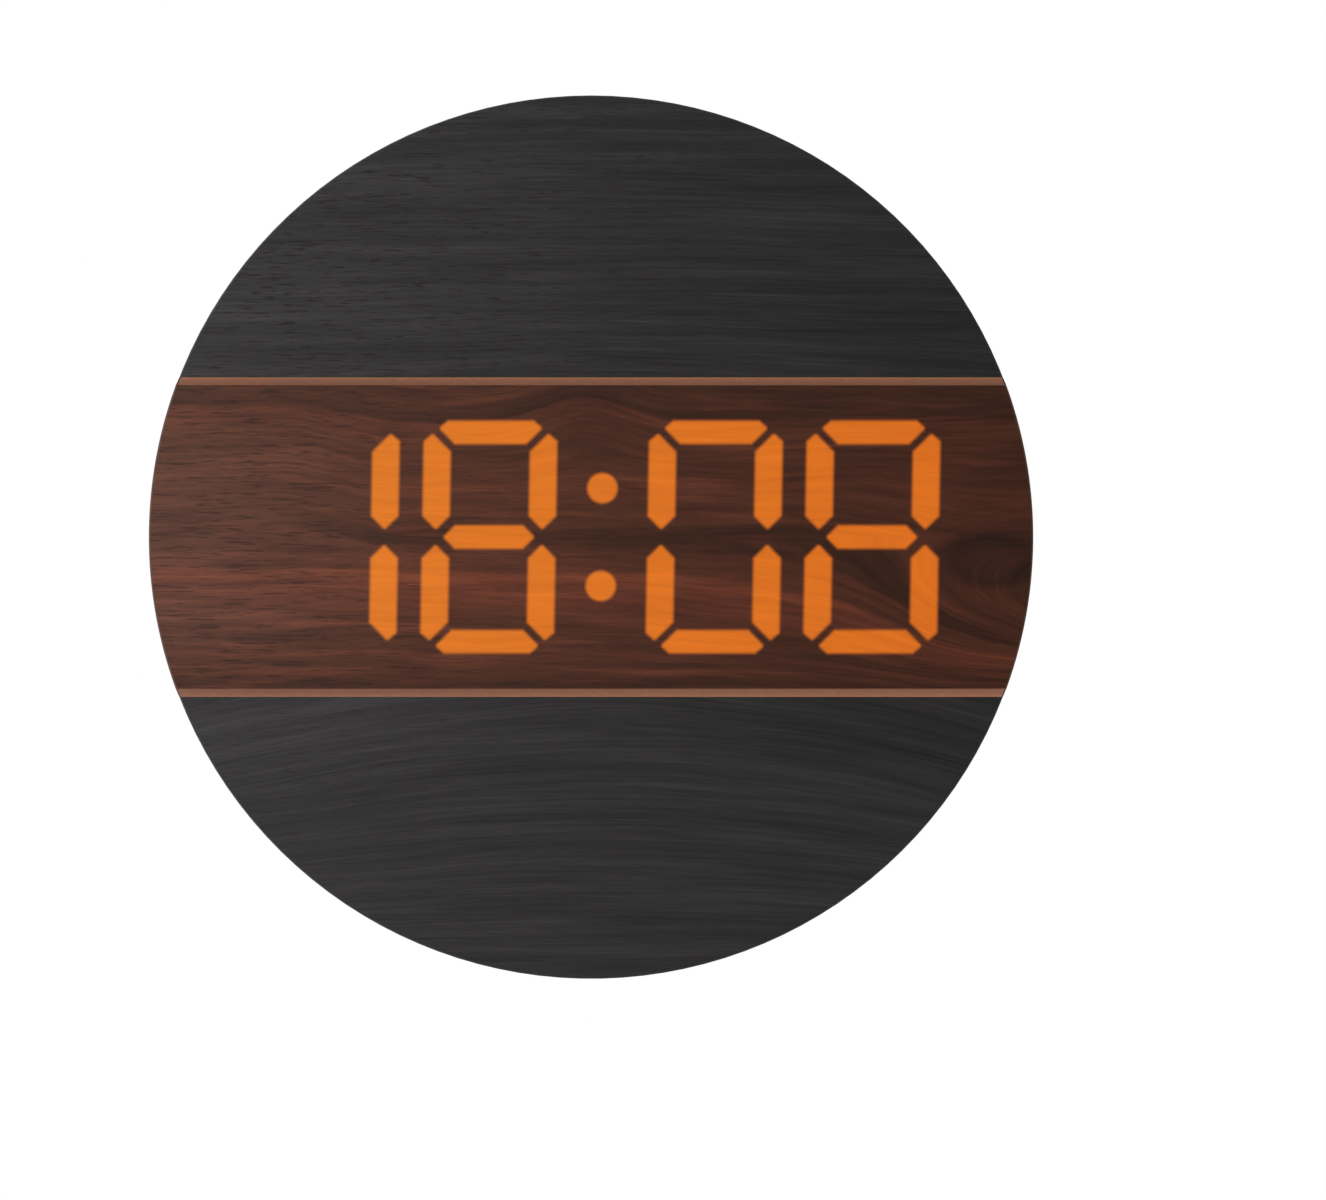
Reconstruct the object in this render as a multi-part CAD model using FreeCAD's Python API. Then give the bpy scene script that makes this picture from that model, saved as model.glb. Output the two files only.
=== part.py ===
"""Round LED wall clock with an alarm: a laminated MDF disc, a proud walnut band that hides the digits,
and the electronics behind it under a moulded rear cover.

Row frame in millimetres: +X to the right and +Z up as the clock is read, -Y towards the reader.
The origin is the centre of the back, on the wall plane y = 0.
"""

import FreeCAD
import Part
import math
import os

# ---- The disc and its laminates -------------------------------------------------------------
disc_diameter = 295.0
overall_depth = 18.0            # wall plane to the face of the walnut band
film_thickness = 0.25           # PVC wood-grain film on every laminated face
edging_thickness = 0.5          # PVC edge band glued round the rim
band_height = 106.7             # walnut band, foot of bevel to foot of bevel
band_thickness = 3.0            # walnut board with its film, bevelled at 45 degrees
past = 1.0                      # every cut runs this far past the face it opens
same_level = 1e-6               # faces and edges nearer than this lie at one level

# ---- The digits ------------------------------------------------------------------------------
side_margin = 31.5              # rim of the disc to the right-hand digit
band_margin = 14.5              # foot of the band's bevel to the top of a digit
digit_gap = 7.9                 # between the two hours and between the two minutes
colon_gap = 30.5                # between the hours and the minutes
display_offset = 3.5            # the colon stands this far right of the disc's centre
digit_slant = 1.0               # degrees of lean to the right
upright_bar = 9.2               # width of an upright segment
level_bar = 7.9                 # height of a level segment
corner_gap = 2.6                # unlit gap across a mitred corner of the digit
middle_gap = 3.4                # the same where the middle segment meets the uprights
corner_cut_x = 8.0              # the digit's outer corners are cut off by this much along X
corner_cut_z = 6.9
colon_dot_diameter = 10.2
colon_dot_spacing = 32.6
window_clearance = 0.1          # light pad to window, each side

# ---- Light guides, light frame and circuit board -----------------------------------------------
guide_base = 0.8                # sheet that joins the seven pads of one digit
guide_margin = 2.0              # sheet past the digit's outline
frame_margin = 3.0              # light frame past the outermost digit edge
frame_clearance = 0.3           # light frame to the opening in the disc
board_thickness = 1.6
board_ledge = 5.2               # width of disc that the circuit board is screwed to
board_clearance = 0.4
board_corner = 3.0
board_hole_clearance = 0.1      # screw to its hole in the board, each side
peg_diameter = 2.8
peg_stand = 0.6                 # how far the staked pegs stand behind the board
peg_clearance = 0.1
led_x = 3.5
led_z = 2.8
led_height = 0.8
led_lens_diameter = 2.2
led_lens_depth = 0.25
led_spread = (0.32, 0.68)       # places of an upright's two LEDs, as shares of its length

# ---- Rear cover ------------------------------------------------------------------------------
cover_thickness = 2.5
cover_ledge = 6.9               # width of rebate that the rear cover is screwed to
cover_clearance = 0.3
cover_corner = 12.0
cover_edge_chamfer = 0.4
pocket_corner = 4.0
rib_depth = 1.0
rib_width = 1.4

# ---- Screws ----------------------------------------------------------------------------------
screw_clearance = 0.05          # shank to pilot hole, each side
board_screw_diameter = 2.2
board_screw_head = 4.2
board_screw_head_height = 1.2
screw_skin = 1.2                # disc left in front of a board screw's tip
cover_screw_diameter = 2.9
cover_screw_head = 5.6
cover_screw_length = 9.0
cover_screw_sink = 0.2
drive_size = 1.9                # cross recess, tip to tip
drive_depth = 0.9
drive_blade = 0.55

# ---- Hangers ---------------------------------------------------------------------------------
hanger_spacing = 120.0
hanger_width = 18.0
hanger_length = 41.0
hanger_thickness = 1.2
hanger_clearance = 0.2
keyhole_entry_diameter = 9.0
keyhole_slot_width = 4.6
keyhole_rise = 8.0
hanger_pocket_width = 12.0
hanger_pocket_depth = 8.0
hanger_screw_diameter = 2.5
hanger_screw_head = 4.8
hanger_screw_length = 8.0
hanger_screw_inset = 4.5

# ---- Power socket and its cable route -----------------------------------------------------------
socket_width = 6.4
socket_height = 5.0
socket_length = 11.0
socket_bore_diameter = 3.7
socket_bore_depth = 9.5
socket_pin_diameter = 1.3
socket_pin_length = 8.5
socket_pin_chamfer = 0.26
plug_well_width = 12.0
plug_well_depth = 10.5
plug_well_length = 40.0
cable_groove_width = 6.0
cable_groove_depth = 6.0

# ---- Controls --------------------------------------------------------------------------------
control_x = -70.0               # middle of the three buttons
control_z = 4.0
button_pitch = 18.0
button_diameter = 8.0
button_clearance = 0.3
button_flange = 1.2             # flange past the cap, each side
button_flange_height = 0.8
button_stand = 1.6              # cap above the floor of the well
button_travel = 0.5
button_stop_gap = 0.4           # flange to the switch when pressed in
button_play = 0.2               # flange to the floor at rest
button_edge_round = 0.5
symbol_size = 2.0               # half the width of the symbol on a button
symbol_depth = 0.2
well_floor = 1.2
well_wall = 1.2
well_depth = 2.8
well_height = 22.0
well_end_margin = 10.0
well_corner = 4.0
switch_size = 6.0
switch_base_height = 2.2
switch_cover_height = 0.3
switch_corner = 0.5
plunger_diameter = 3.4
plunger_clearance = 0.2
plunger_overlap = 0.7           # plunger left inside the switch at rest

alarm_switch_length = 10.0
alarm_switch_width = 4.6
alarm_switch_height = 3.2
alarm_travel = 2.0
alarm_foot_length = 4.0
alarm_foot_width = 2.6
alarm_foot_height = 0.8
alarm_lever = 1.6
alarm_clearance = 0.3
alarm_wall = 0.6
alarm_knob_length = 4.6
alarm_knob_width = 3.6
alarm_knob_height = 1.2
alarm_rib_width = 0.4

# ---- Memory battery and its door ----------------------------------------------------------------
battery_x = 62.0
battery_z = 4.0
cell_diameter = 20.0
cell_height = 3.2
cell_clearance = 0.2
cell_step = 1.1                 # the negative cap is narrower by this much, each side
cell_step_height = 0.6
holder_wall = 1.8
holder_floor = 0.9
holder_notch = 10.0             # width of the notch for a fingertip
holder_notch_rise = 5.0         # middle of the cell to the nearer end of each notch
contact_thickness = 0.3
contact_width = 4.0
contact_chamfer = 1.0
clip_hook = 2.5                 # how far the positive contact hooks over the cell
door_side_margin = 3.5          # door past the cell, each side
door_end_margin = 5.0           # door past the cell, above and below
door_thickness = 1.6
door_sink = 0.2                 # door's face below the wall plane
door_clearance = 0.3
door_ledge = 1.2
door_corner = 1.5
door_pin_diameter = 1.5
door_pin_length = 1.5
door_pin_clearance = 0.05
door_seat_gap = 0.1             # closed door to the ledge that it rests on
door_grip_width = 12.0
door_grip_depth = 0.7
door_grip_groove = 1.0
door_grip_pitch = 2.0
door_grip_count = 3
door_grip_rise = 4.0            # foot of the door to the lowest groove

# ---- Parts on the back of the circuit board -------------------------------------------------------
buzzer_x = 20.0
buzzer_z = 22.0
buzzer_diameter = 12.0
buzzer_height = 5.2
buzzer_port_diameter = 2.0
buzzer_port_depth = 1.5
sound_hole_diameter = 1.6
sound_hole_pitch = 3.2
sound_hole_ring = 6             # holes round the middle one
thermistor_inset = 20.6         # end of the circuit board to the thermistor
thermistor_z = -28.0
thermistor_bead_diameter = 2.4
vent_diameter = 4.0
lead_diameter = 0.5
lead_pitch = 1.4
lead_height = 2.4
processor_x = 8.0
processor_z = -6.0
processor_length = 17.9
processor_width = 7.5
processor_leg_count = 28
driver_x = 84.0                 # each driver chip from the middle of the board
driver_z = -26.0
driver_length = 10.0
driver_width = 6.2
driver_leg_count = 16
chip_height = 2.2
chip_stand = 0.2
chip_edge = 0.3
chip_dot = 1.0                  # diameter of the dimple that marks leg 1
chip_dot_inset = 1.4
chip_dot_depth = 0.1
leg_width = 0.42
leg_pitch = 1.27
leg_reach = 1.4
leg_thickness = 0.2
crystal_x = -20.0
crystal_z = -8.0
crystal_diameter = 2.0
crystal_length = 6.2
crystal_edge = 0.33
capacitor_x = 20.0
capacitor_z = -34.0
capacitor_diameter = 5.0
capacitor_base = 5.3
capacitor_height = 5.2
capacitor_base_height = 0.9
can_edge = 0.4                  # rolled edge of the capacitor's and the buzzer's can
regulator_x = -18.0
regulator_z = -34.0
regulator_length = 6.4
regulator_width = 3.5
regulator_height = 1.6
regulator_leg_pitch = 2.3
regulator_leg_width = 0.7
regulator_leg_reach = 1.75
regulator_leg_thickness = 0.3
regulator_tab_width = 3.0
resistor_count = 14
resistor_pitch = 3.6
resistor_x = 0.9
resistor_z = 1.7
resistor_height = 0.5
resistor_row_z = 8.5

# ---- Levels, from the wall plane towards the reader (negative Y) ------------------------------------
disc_radius = disc_diameter / 2
core_radius = disc_radius - edging_thickness
band_foot = -(overall_depth - band_thickness)           # face of the black film
core_front = band_foot + film_thickness
core_back = -film_thickness
band_front = -overall_depth
board_y = band_front + film_thickness                   # face of the walnut board
cover_inside = -cover_thickness
guide_back = band_foot + guide_base
well_floor_back = -well_depth
well_floor_front = well_floor_back - well_floor
flange_back = well_floor_front - button_play
flange_front = flange_back - button_flange_height
switch_top = flange_front - button_travel - button_stop_gap
board_back = switch_top - switch_cover_height - switch_base_height
board_front = board_back - board_thickness

# ---- Plan sizes ------------------------------------------------------------------------------------
display_half = disc_radius - side_margin - display_offset
digit_width = (display_half - colon_gap / 2 - digit_gap) / 2
digit_height = band_height - 2 * band_margin
half_digit_x = digit_width / 2
half_digit_z = digit_height / 2
lean = math.tan(math.radians(digit_slant))
colon_x = display_offset
inner_digit = (colon_gap + digit_width) / 2
outer_digit = inner_digit + digit_gap + digit_width
digit_x = {
    "hour_tens": colon_x - outer_digit,
    "hour_units": colon_x - inner_digit,
    "minute_tens": colon_x + inner_digit,
    "minute_units": colon_x + outer_digit,
}
farthest_digit = max(abs(x) for x in digit_x.values()) + half_digit_x + lean * half_digit_z
frame_half_x = farthest_digit + frame_margin
frame_half_z = half_digit_z + frame_margin
opening_half_x = frame_half_x + frame_clearance
opening_half_z = frame_half_z + frame_clearance
pocket_half_x = opening_half_x + board_ledge + board_clearance
pocket_half_z = opening_half_z + board_ledge + board_clearance
board_half_x = pocket_half_x - board_clearance
board_half_z = pocket_half_z - board_clearance
rebate_half_x = pocket_half_x + cover_ledge
rebate_half_z = pocket_half_z + cover_ledge
cover_half_x = rebate_half_x - cover_clearance
cover_half_z = rebate_half_z - cover_clearance
peg_z = half_digit_z - level_bar / 2
hanger_rim_z = math.sqrt(core_radius ** 2 - (hanger_spacing / 2 + hanger_width / 2) ** 2)
hanger_centre_z = (rebate_half_z + hanger_rim_z) / 2
hanger_z = hanger_centre_z - keyhole_rise / 2
socket_axis_y = board_back + socket_height / 2
socket_mouth_z = -board_half_z
plug_well_foot = -rebate_half_z - plug_well_length
door_width = cell_diameter + 2 * door_side_margin
door_height = cell_diameter + 2 * door_end_margin
thermistor_x = board_half_x - thermistor_inset
screw_x = opening_half_x + board_ledge / 2
screw_z = opening_half_z + board_ledge / 2
cover_screw_x = pocket_half_x + cover_ledge / 2
cover_screw_z = pocket_half_z + cover_ledge / 2
button_x = {
    "set": control_x + button_pitch,
    "up": control_x,
    "down": control_x - button_pitch,
}
alarm_x = control_x + 2 * button_pitch + alarm_travel
well_x0 = button_x["down"] - well_end_margin
well_x1 = alarm_x + well_end_margin


# ---- Small geometry helpers ------------------------------------------------------------------------
def vector(x, y, z):
    return FreeCAD.Vector(x, y, z)


def slab(x0, x1, y0, y1, z0, z1):
    """Box between two corners."""
    return Part.makeBox(x1 - x0, y1 - y0, z1 - z0, vector(x0, y0, z0))


def block(x, z, half_x, half_z, y0, y1):
    """Box on (x, z) from y0 to y1."""
    return slab(x - half_x, x + half_x, y0, y1, z - half_z, z + half_z)


def rod(diameter, y0, y1, x=0.0, z=0.0):
    """Cylinder along Y."""
    return Part.makeCylinder(diameter / 2, y1 - y0, vector(x, y0, z), vector(0, 1, 0))


def cone(diameter_0, diameter_1, y0, y1, x, z):
    """Cone along Y."""
    return Part.makeCone(diameter_0 / 2, diameter_1 / 2, y1 - y0, vector(x, y0, z), vector(0, 1, 0))


def prism(points, y0, y1):
    """Plan outline of (x, z) points, extruded from y0 to y1."""
    corners = [vector(x, y0, z) for x, z in points]
    return Part.Face(Part.makePolygon(corners + corners[:1])).extrude(vector(0, y1 - y0, 0))


def along(shape, axis):
    """The straight edges of a shape that run along an axis."""
    found = []
    for edge in shape.Edges:
        if len(edge.Vertexes) == 2 and isinstance(edge.Curve, Part.Line):
            run = edge.Vertexes[1].Point - edge.Vertexes[0].Point
            if abs(abs(run.normalize().dot(axis)) - 1) < same_level:
                found.append(edge)
    return found


def rounded_slab(half_x, half_z, corner, y0, y1, x=0.0, z=0.0):
    """Box on (x, z) with rounded corners in plan."""
    square = block(x, z, half_x, half_z, y0, y1)
    return square.makeFillet(corner, along(square, vector(0, 1, 0)))


def long_hole(half_x, half_z, y0, y1, x=0.0, z=0.0):
    """Upright bar on (x, z) with fully rounded ends."""
    straight = half_z - half_x
    bar = block(x, z, half_x, straight, y0, y1)
    ends = [rod(2 * half_x, y0, y1, x, z + k * straight) for k in (-1, 1)]
    return bar.multiFuse(ends).removeSplitter()


def at_level(shape, y):
    """The edges of a shape that lie wholly in the plane at y."""
    return [e for e in shape.Edges
            if abs(e.BoundBox.YMin - y) < same_level and abs(e.BoundBox.YMax - y) < same_level]


def together(shapes):
    return Part.makeCompound(list(shapes))


def four_ways(x, z):
    return [(i * x, k * z) for i in (-1, 1) for k in (-1, 1)]


def cross_recess(x, y, z):
    """Cross-head drive cut down from the level y."""
    reach = drive_size / 2
    half = drive_blade / 2
    level = block(x, z, reach, half, y - drive_depth, y)
    return level.fuse(block(x, z, half, reach, y - drive_depth, y))


def countersunk_screw(x, z, back, diameter, head, length):
    """Countersunk screw with its head flush at the level back and its shank towards the reader."""
    head_height = (head - diameter) / 2
    body = rod(diameter, back - length, back - head_height, x, z)
    body = body.fuse(cone(diameter, head, back - head_height, back, x, z)).removeSplitter()
    return body.cut(cross_recess(x, back, z))


def countersunk_hole(x, z, back, front, diameter, head):
    """The clearance hole and countersink for that screw."""
    wide = head + 2 * screw_clearance
    narrow = diameter + 2 * screw_clearance
    sink = (wide - narrow) / 2
    return rod(narrow, front, back, x, z).fuse(cone(narrow, wide, back - sink, back, x, z))


# ---- Segments of one digit -------------------------------------------------------------------------
def meet(first, second):
    """Where two lines a*x + b*z = c cross."""
    a1, b1, c1 = first
    a2, b2, c2 = second
    turn = a1 * b2 - a2 * b1
    return ((c1 * b2 - c2 * b1) / turn, (a1 * c2 - a2 * c1) / turn)


def side(a, b, x, z, inset):
    """The line with outward normal (a, b) through (x, z), moved in by inset."""
    size = math.hypot(a, b)
    return (a / size, b / size, (a * x + b * z) / size - inset)


def outline(sides):
    return [meet(sides[i - 1], sides[i]) for i in range(len(sides))]


def level_segment(inset, top):
    """Top segment of a digit, or the middle one, as points about the digit's centre."""
    joint_x = half_digit_x - upright_bar / 2
    joint_z = half_digit_z - level_bar / 2
    if not top:
        half = level_bar / 2
        gap = middle_gap / 2 + inset
        return outline([
            side(0, 1, 0, half, inset),
            side(1, 1, joint_x, 0, gap),
            side(1, -1, joint_x, 0, gap),
            side(0, -1, 0, -half, inset),
            side(-1, -1, -joint_x, 0, gap),
            side(-1, 1, -joint_x, 0, gap),
        ])
    gap = corner_gap / 2 + inset
    cut_z = half_digit_z - corner_cut_z
    return outline([
        side(0, 1, 0, half_digit_z, inset),
        side(corner_cut_z, corner_cut_x, half_digit_x, cut_z, inset),
        side(1, -1, joint_x, joint_z, gap),
        side(0, -1, 0, half_digit_z - level_bar, inset),
        side(-1, -1, -joint_x, joint_z, gap),
        side(-corner_cut_z, corner_cut_x, -half_digit_x, cut_z, inset),
    ])


def upright_segment(inset):
    """Upper right segment of a digit, as points about the digit's centre."""
    joint_x = half_digit_x - upright_bar / 2
    joint_z = half_digit_z - level_bar / 2
    middle = middle_gap / 2 + inset
    return outline([
        side(-1, 1, joint_x, joint_z, corner_gap / 2 + inset),
        side(corner_cut_z, corner_cut_x, half_digit_x, half_digit_z - corner_cut_z, inset),
        side(1, 0, half_digit_x, 0, inset),
        side(1, -1, joint_x, 0, middle),
        side(-1, -1, joint_x, 0, middle),
        side(-1, 0, half_digit_x - upright_bar, 0, inset),
    ])


def mirrored(points, in_x, in_z):
    """Points mirrored left to right, top to bottom, or both."""
    return [(x * in_x, z * in_z) for x, z in points]


def digit_outlines(centre_x, inset):
    """All seven segment outlines of a digit, leaning by digit_slant."""
    top = level_segment(inset, True)
    upright = upright_segment(inset)
    shapes = [top, mirrored(top, 1, -1), level_segment(inset, False)]
    shapes += [mirrored(upright, i, k) for i in (1, -1) for k in (1, -1)]
    return [[(centre_x + x + lean * z, z) for x, z in points] for points in shapes]


def digit_prisms(centre_x, inset, y0, y1):
    return [prism(points, y0, y1) for points in digit_outlines(centre_x, inset)]


def colon_dots(inset, y0, y1):
    half = colon_dot_spacing / 2
    return [rod(colon_dot_diameter - 2 * inset, y0, y1, colon_x + lean * z, z) for z in (half, -half)]


def all_windows(inset, y0, y1):
    """Every segment and dot of the display as one list of solids."""
    found = []
    for x in digit_x.values():
        found += digit_prisms(x, inset, y0, y1)
    return found + colon_dots(inset, y0, y1)


# ---- The disc --------------------------------------------------------------------------------------
def cable_route():
    """Plug well and cable groove, cut from the back."""
    well = slab(-plug_well_width / 2, plug_well_width / 2, -plug_well_depth, past,
                plug_well_foot, -pocket_half_z + board_clearance)
    groove = slab(-cable_groove_width / 2, cable_groove_width / 2, -cable_groove_depth, past,
                  -disc_radius - past, plug_well_foot + past)
    return well.fuse(groove)


def hanger_rebate(x, extra):
    """Flat seat of a hanger plate, larger than the plate by extra on each side."""
    return long_hole(hanger_width / 2 + extra, hanger_length / 2 + extra, -hanger_thickness, past,
                     x, hanger_centre_z)


def hanger_places():
    return [-hanger_spacing / 2, hanger_spacing / 2]


def hanger_screw_places():
    reach = hanger_length / 2 - hanger_screw_inset
    return [(x, hanger_centre_z + k * reach) for x in hanger_places() for k in (-1, 1)]


def board_screw_places():
    return four_ways(screw_x, half_digit_z - level_bar) + four_ways(frame_half_x / 2, screw_z)


def cover_screw_places():
    return four_ways(cover_screw_x, half_digit_z - level_bar) + four_ways(frame_half_x / 2, cover_screw_z)


def carcass():
    """MDF disc: pocket and rebate from the back, opening through to the band, routed cable groove."""
    disc = rod(2 * core_radius, core_front, core_back)
    cuts = [
        rounded_slab(rebate_half_x, rebate_half_z, cover_corner, -cover_thickness, past),
        rounded_slab(pocket_half_x, pocket_half_z, pocket_corner, board_front, past),
        rounded_slab(opening_half_x, opening_half_z, pocket_corner, core_front - past, past),
        cable_route(),
    ]
    half_slot = keyhole_rise / 2 + hanger_pocket_width / 2
    for x in hanger_places():
        cuts.append(hanger_rebate(x, hanger_clearance))
        cuts.append(long_hole(hanger_pocket_width / 2, half_slot, -hanger_thickness - hanger_pocket_depth,
                              past, x, hanger_centre_z))
    for x, z in board_screw_places():
        cuts.append(rod(board_screw_diameter + 2 * screw_clearance, core_front + screw_skin, past, x, z))
    for x, z in cover_screw_places():
        cuts.append(rod(cover_screw_diameter + 2 * screw_clearance, -cover_screw_length, past, x, z))
    for x, z in hanger_screw_places():
        cuts.append(rod(hanger_screw_diameter + 2 * screw_clearance, -hanger_screw_length, past, x, z))
    return disc.cut(cuts)


def black_film():
    sheet = rod(2 * core_radius, band_foot, core_front)
    return sheet.cut(rounded_slab(opening_half_x, opening_half_z, pocket_corner, band_foot - past, past))


def back_film():
    sheet = rod(2 * core_radius, core_back, 0.0)
    cuts = [rounded_slab(rebate_half_x, rebate_half_z, cover_corner, -past, past), cable_route()]
    cuts += [hanger_rebate(x, hanger_clearance) for x in hanger_places()]
    return sheet.cut(cuts)


def rim_edging():
    ring = rod(disc_diameter, band_foot, 0.0).cut(rod(2 * core_radius, band_foot - past, past))
    return ring.cut(cable_route())


# ---- The walnut band ----------------------------------------------------------------------------------
def bevelled_bar(y0, y1):
    """Slice from y0 to y1 of a bar whose long edges are bevelled at 45 degrees."""
    half = band_height / 2
    far = disc_radius + past
    face = half - band_thickness

    def half_at(y):
        return face + (y - band_front)

    profile = [(y0, -half_at(y0)), (y1, -half_at(y1)), (y1, half_at(y1)), (y0, half_at(y0))]
    corners = [vector(-far, y, z) for y, z in profile]
    return Part.Face(Part.makePolygon(corners + corners[:1])).extrude(vector(2 * far, 0, 0))


def walnut_film():
    return bevelled_bar(band_front, board_y).common(rod(2 * core_radius, band_front - past, board_y + past))


def walnut_board():
    board = bevelled_bar(board_y, band_foot).common(rod(2 * core_radius, board_y - past, band_foot + past))
    return board.cut(all_windows(0.0, board_y - past, band_foot + past))


def walnut_edging(left):
    """Edging on one rounded end of the band."""
    ring = rod(disc_diameter, band_front, band_foot).cut(rod(2 * core_radius, band_front - past, past))
    ends = ring.common(bevelled_bar(band_front, band_foot))
    far = disc_radius + past
    x0 = -far if left else 0
    return ends.common(slab(x0, x0 + far, band_front, band_foot, -far, far))


# ---- Light path ---------------------------------------------------------------------------------------
def light_guide(centre_x):
    """Milky sheet with seven pads that plug the windows of one digit."""
    half_x = half_digit_x + guide_margin
    half_z = half_digit_z + guide_margin
    shift = lean * half_z
    sheet = prism([(centre_x - half_x - shift, -half_z), (centre_x + half_x - shift, -half_z),
                   (centre_x + half_x + shift, half_z), (centre_x - half_x + shift, half_z)],
                  band_foot, guide_back)
    return sheet.multiFuse(digit_prisms(centre_x, window_clearance, board_y, band_foot)).removeSplitter()


def colon_guide():
    half_x = colon_dot_diameter / 2 + guide_margin
    half_z = colon_dot_spacing / 2 + half_x
    sheet = long_hole(half_x, half_z, band_foot, guide_back, colon_x)
    return sheet.multiFuse(colon_dots(window_clearance, board_y, band_foot)).removeSplitter()


def peg_places():
    gap_x = (inner_digit + outer_digit) / 2
    between = [colon_x - gap_x, colon_x, colon_x + gap_x]
    return [(x, k * peg_z) for x in between for k in (-1, 1)]


def light_frame():
    """White cell block that keeps each segment's light to itself; its pegs pass through the board."""
    cells = rounded_slab(frame_half_x, frame_half_z, pocket_corner, guide_back, board_front)
    cells = cells.cut(all_windows(window_clearance, guide_back - past, board_front + past))
    pegs = [rod(peg_diameter, board_front, board_back + peg_stand, x, z) for x, z in peg_places()]
    return cells.multiFuse(pegs)


def circuit_board():
    board = rounded_slab(board_half_x, board_half_z, board_corner, board_front, board_back)
    holes = [rod(board_screw_diameter + 2 * board_hole_clearance, board_front - past, board_back + past, x, z)
             for x, z in board_screw_places()]
    holes += [rod(peg_diameter + 2 * peg_clearance, board_front - past, board_back + past, x, z)
              for x, z in peg_places()]
    return board.cut(holes)


def led(x, z):
    top = board_front - led_height
    body = block(x, z, led_x / 2, led_z / 2, top, board_front)
    return body.cut(rod(led_lens_diameter, top - past, top + led_lens_depth, x, z))


def digit_leds(centre_x):
    """Two LEDs behind each of the seven segments."""
    joint_x = half_digit_x - upright_bar / 2
    joint_z = half_digit_z - level_bar / 2
    spots = [(i * joint_x / 2, k * joint_z) for i in (-1, 1) for k in (-1, 0, 1)]
    spots += [(i * joint_x, k * joint_z * share) for i in (-1, 1) for k in (-1, 1) for share in led_spread]
    return together(led(centre_x + x + lean * z, z) for x, z in spots)


def colon_leds():
    half = colon_dot_spacing / 2
    return together(led(colon_x + lean * z, z) for z in (half, -half))


def board_screws():
    found = []
    for x, z in board_screw_places():
        top = board_back + board_screw_head_height
        shank = rod(board_screw_diameter, core_front + screw_skin, board_back, x, z)
        head = rod(board_screw_head, board_back, top, x, z)
        head = head.makeFillet(board_screw_head_height / 2, at_level(head, top))
        found.append(shank.fuse(head).cut(cross_recess(x, top, z)))
    return together(found)


# ---- Rear cover and its fixings -------------------------------------------------------------------------
def door_hinge():
    """Centre line of the battery door's hinge, as (y, z)."""
    radius = door_thickness / 2
    return (-door_sink - radius, battery_z + door_height / 2 - radius)


def rear_cover():
    """Moulded cover, flush with the back, with a well for the controls and a bay for the battery."""
    plate = rounded_slab(cover_half_x, cover_half_z, cover_corner - cover_clearance, cover_inside, 0.0)
    plate = plate.makeChamfer(cover_edge_chamfer, at_level(plate, 0.0))
    half_well_x = (well_x1 - well_x0) / 2
    middle = (well_x0 + well_x1) / 2
    tub = rounded_slab(half_well_x + well_wall, well_height / 2 + well_wall, well_corner + well_wall,
                       well_floor_front, cover_inside, middle, control_z)
    rib_front = cover_inside - rib_depth
    top_rib = slab(-opening_half_x, opening_half_x, rib_front, cover_inside,
                   opening_half_z - rib_width, opening_half_z)
    end_ribs = [slab(x - rib_width, x, rib_front, cover_inside, -opening_half_z, opening_half_z)
                for x in (-opening_half_x + rib_width, opening_half_x)]
    cover = plate.multiFuse([tub, top_rib] + end_ribs)
    cuts = [rounded_slab(half_well_x, well_height / 2, well_corner, well_floor_back, past, middle, control_z)]
    for x in button_x.values():
        cuts.append(rod(button_diameter + 2 * button_clearance, well_floor_front - past, past, x, control_z))
    slot_x = alarm_lever / 2 + alarm_travel / 2 + alarm_clearance
    slot_z = alarm_lever / 2 + alarm_clearance
    cuts.append(block(alarm_x, control_z, slot_x, slot_z, well_floor_front - past, past))
    cuts += battery_bay_cuts()
    for dx, dz in sound_hole_places():
        cuts.append(rod(sound_hole_diameter, cover_inside - past, past, buzzer_x + dx, buzzer_z + dz))
    cuts.append(rod(vent_diameter, cover_inside - past, past, thermistor_x, thermistor_z))
    cuts.append(slab(-plug_well_width / 2, plug_well_width / 2, cover_inside - past, past,
                     -cover_half_z - past, socket_mouth_z))
    for x, z in cover_screw_places():
        cuts.append(countersunk_hole(x, z, -cover_screw_sink, cover_inside - past, cover_screw_diameter,
                                     cover_screw_head))
        cuts.append(rod(cover_screw_head + 2 * screw_clearance, -cover_screw_sink, past, x, z))
    return cover.cut(cuts)


def sound_hole_places():
    turns = [2 * math.pi * i / sound_hole_ring for i in range(sound_hole_ring)]
    ring = [(sound_hole_pitch * math.cos(a), sound_hole_pitch * math.sin(a)) for a in turns]
    return [(0.0, 0.0)] + ring


def battery_bay_cuts():
    """Door seat, the way through to the cell, and the hinge pin holes."""
    half_x = door_width / 2 + door_clearance
    half_z = door_height / 2 + door_clearance
    hinge_y, hinge_z = door_hinge()
    seat = block(battery_x, battery_z, half_x, half_z, -door_sink - door_thickness - door_seat_gap, past)
    way = slab(battery_x - half_x + door_ledge, battery_x + half_x - door_ledge, cover_inside - past, past,
               battery_z - half_z + door_ledge, battery_z + half_z)
    hinge_reach = door_width / 2 + door_pin_length + door_clearance
    hole = Part.makeCylinder(door_pin_diameter / 2 + door_pin_clearance, 2 * hinge_reach,
                             vector(battery_x - hinge_reach, hinge_y, hinge_z), vector(1, 0, 0))
    return [seat, way, hole]


def cover_screws():
    return together(countersunk_screw(x, z, -cover_screw_sink, cover_screw_diameter, cover_screw_head,
                                      cover_screw_length - cover_screw_sink) for x, z in cover_screw_places())


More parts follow.
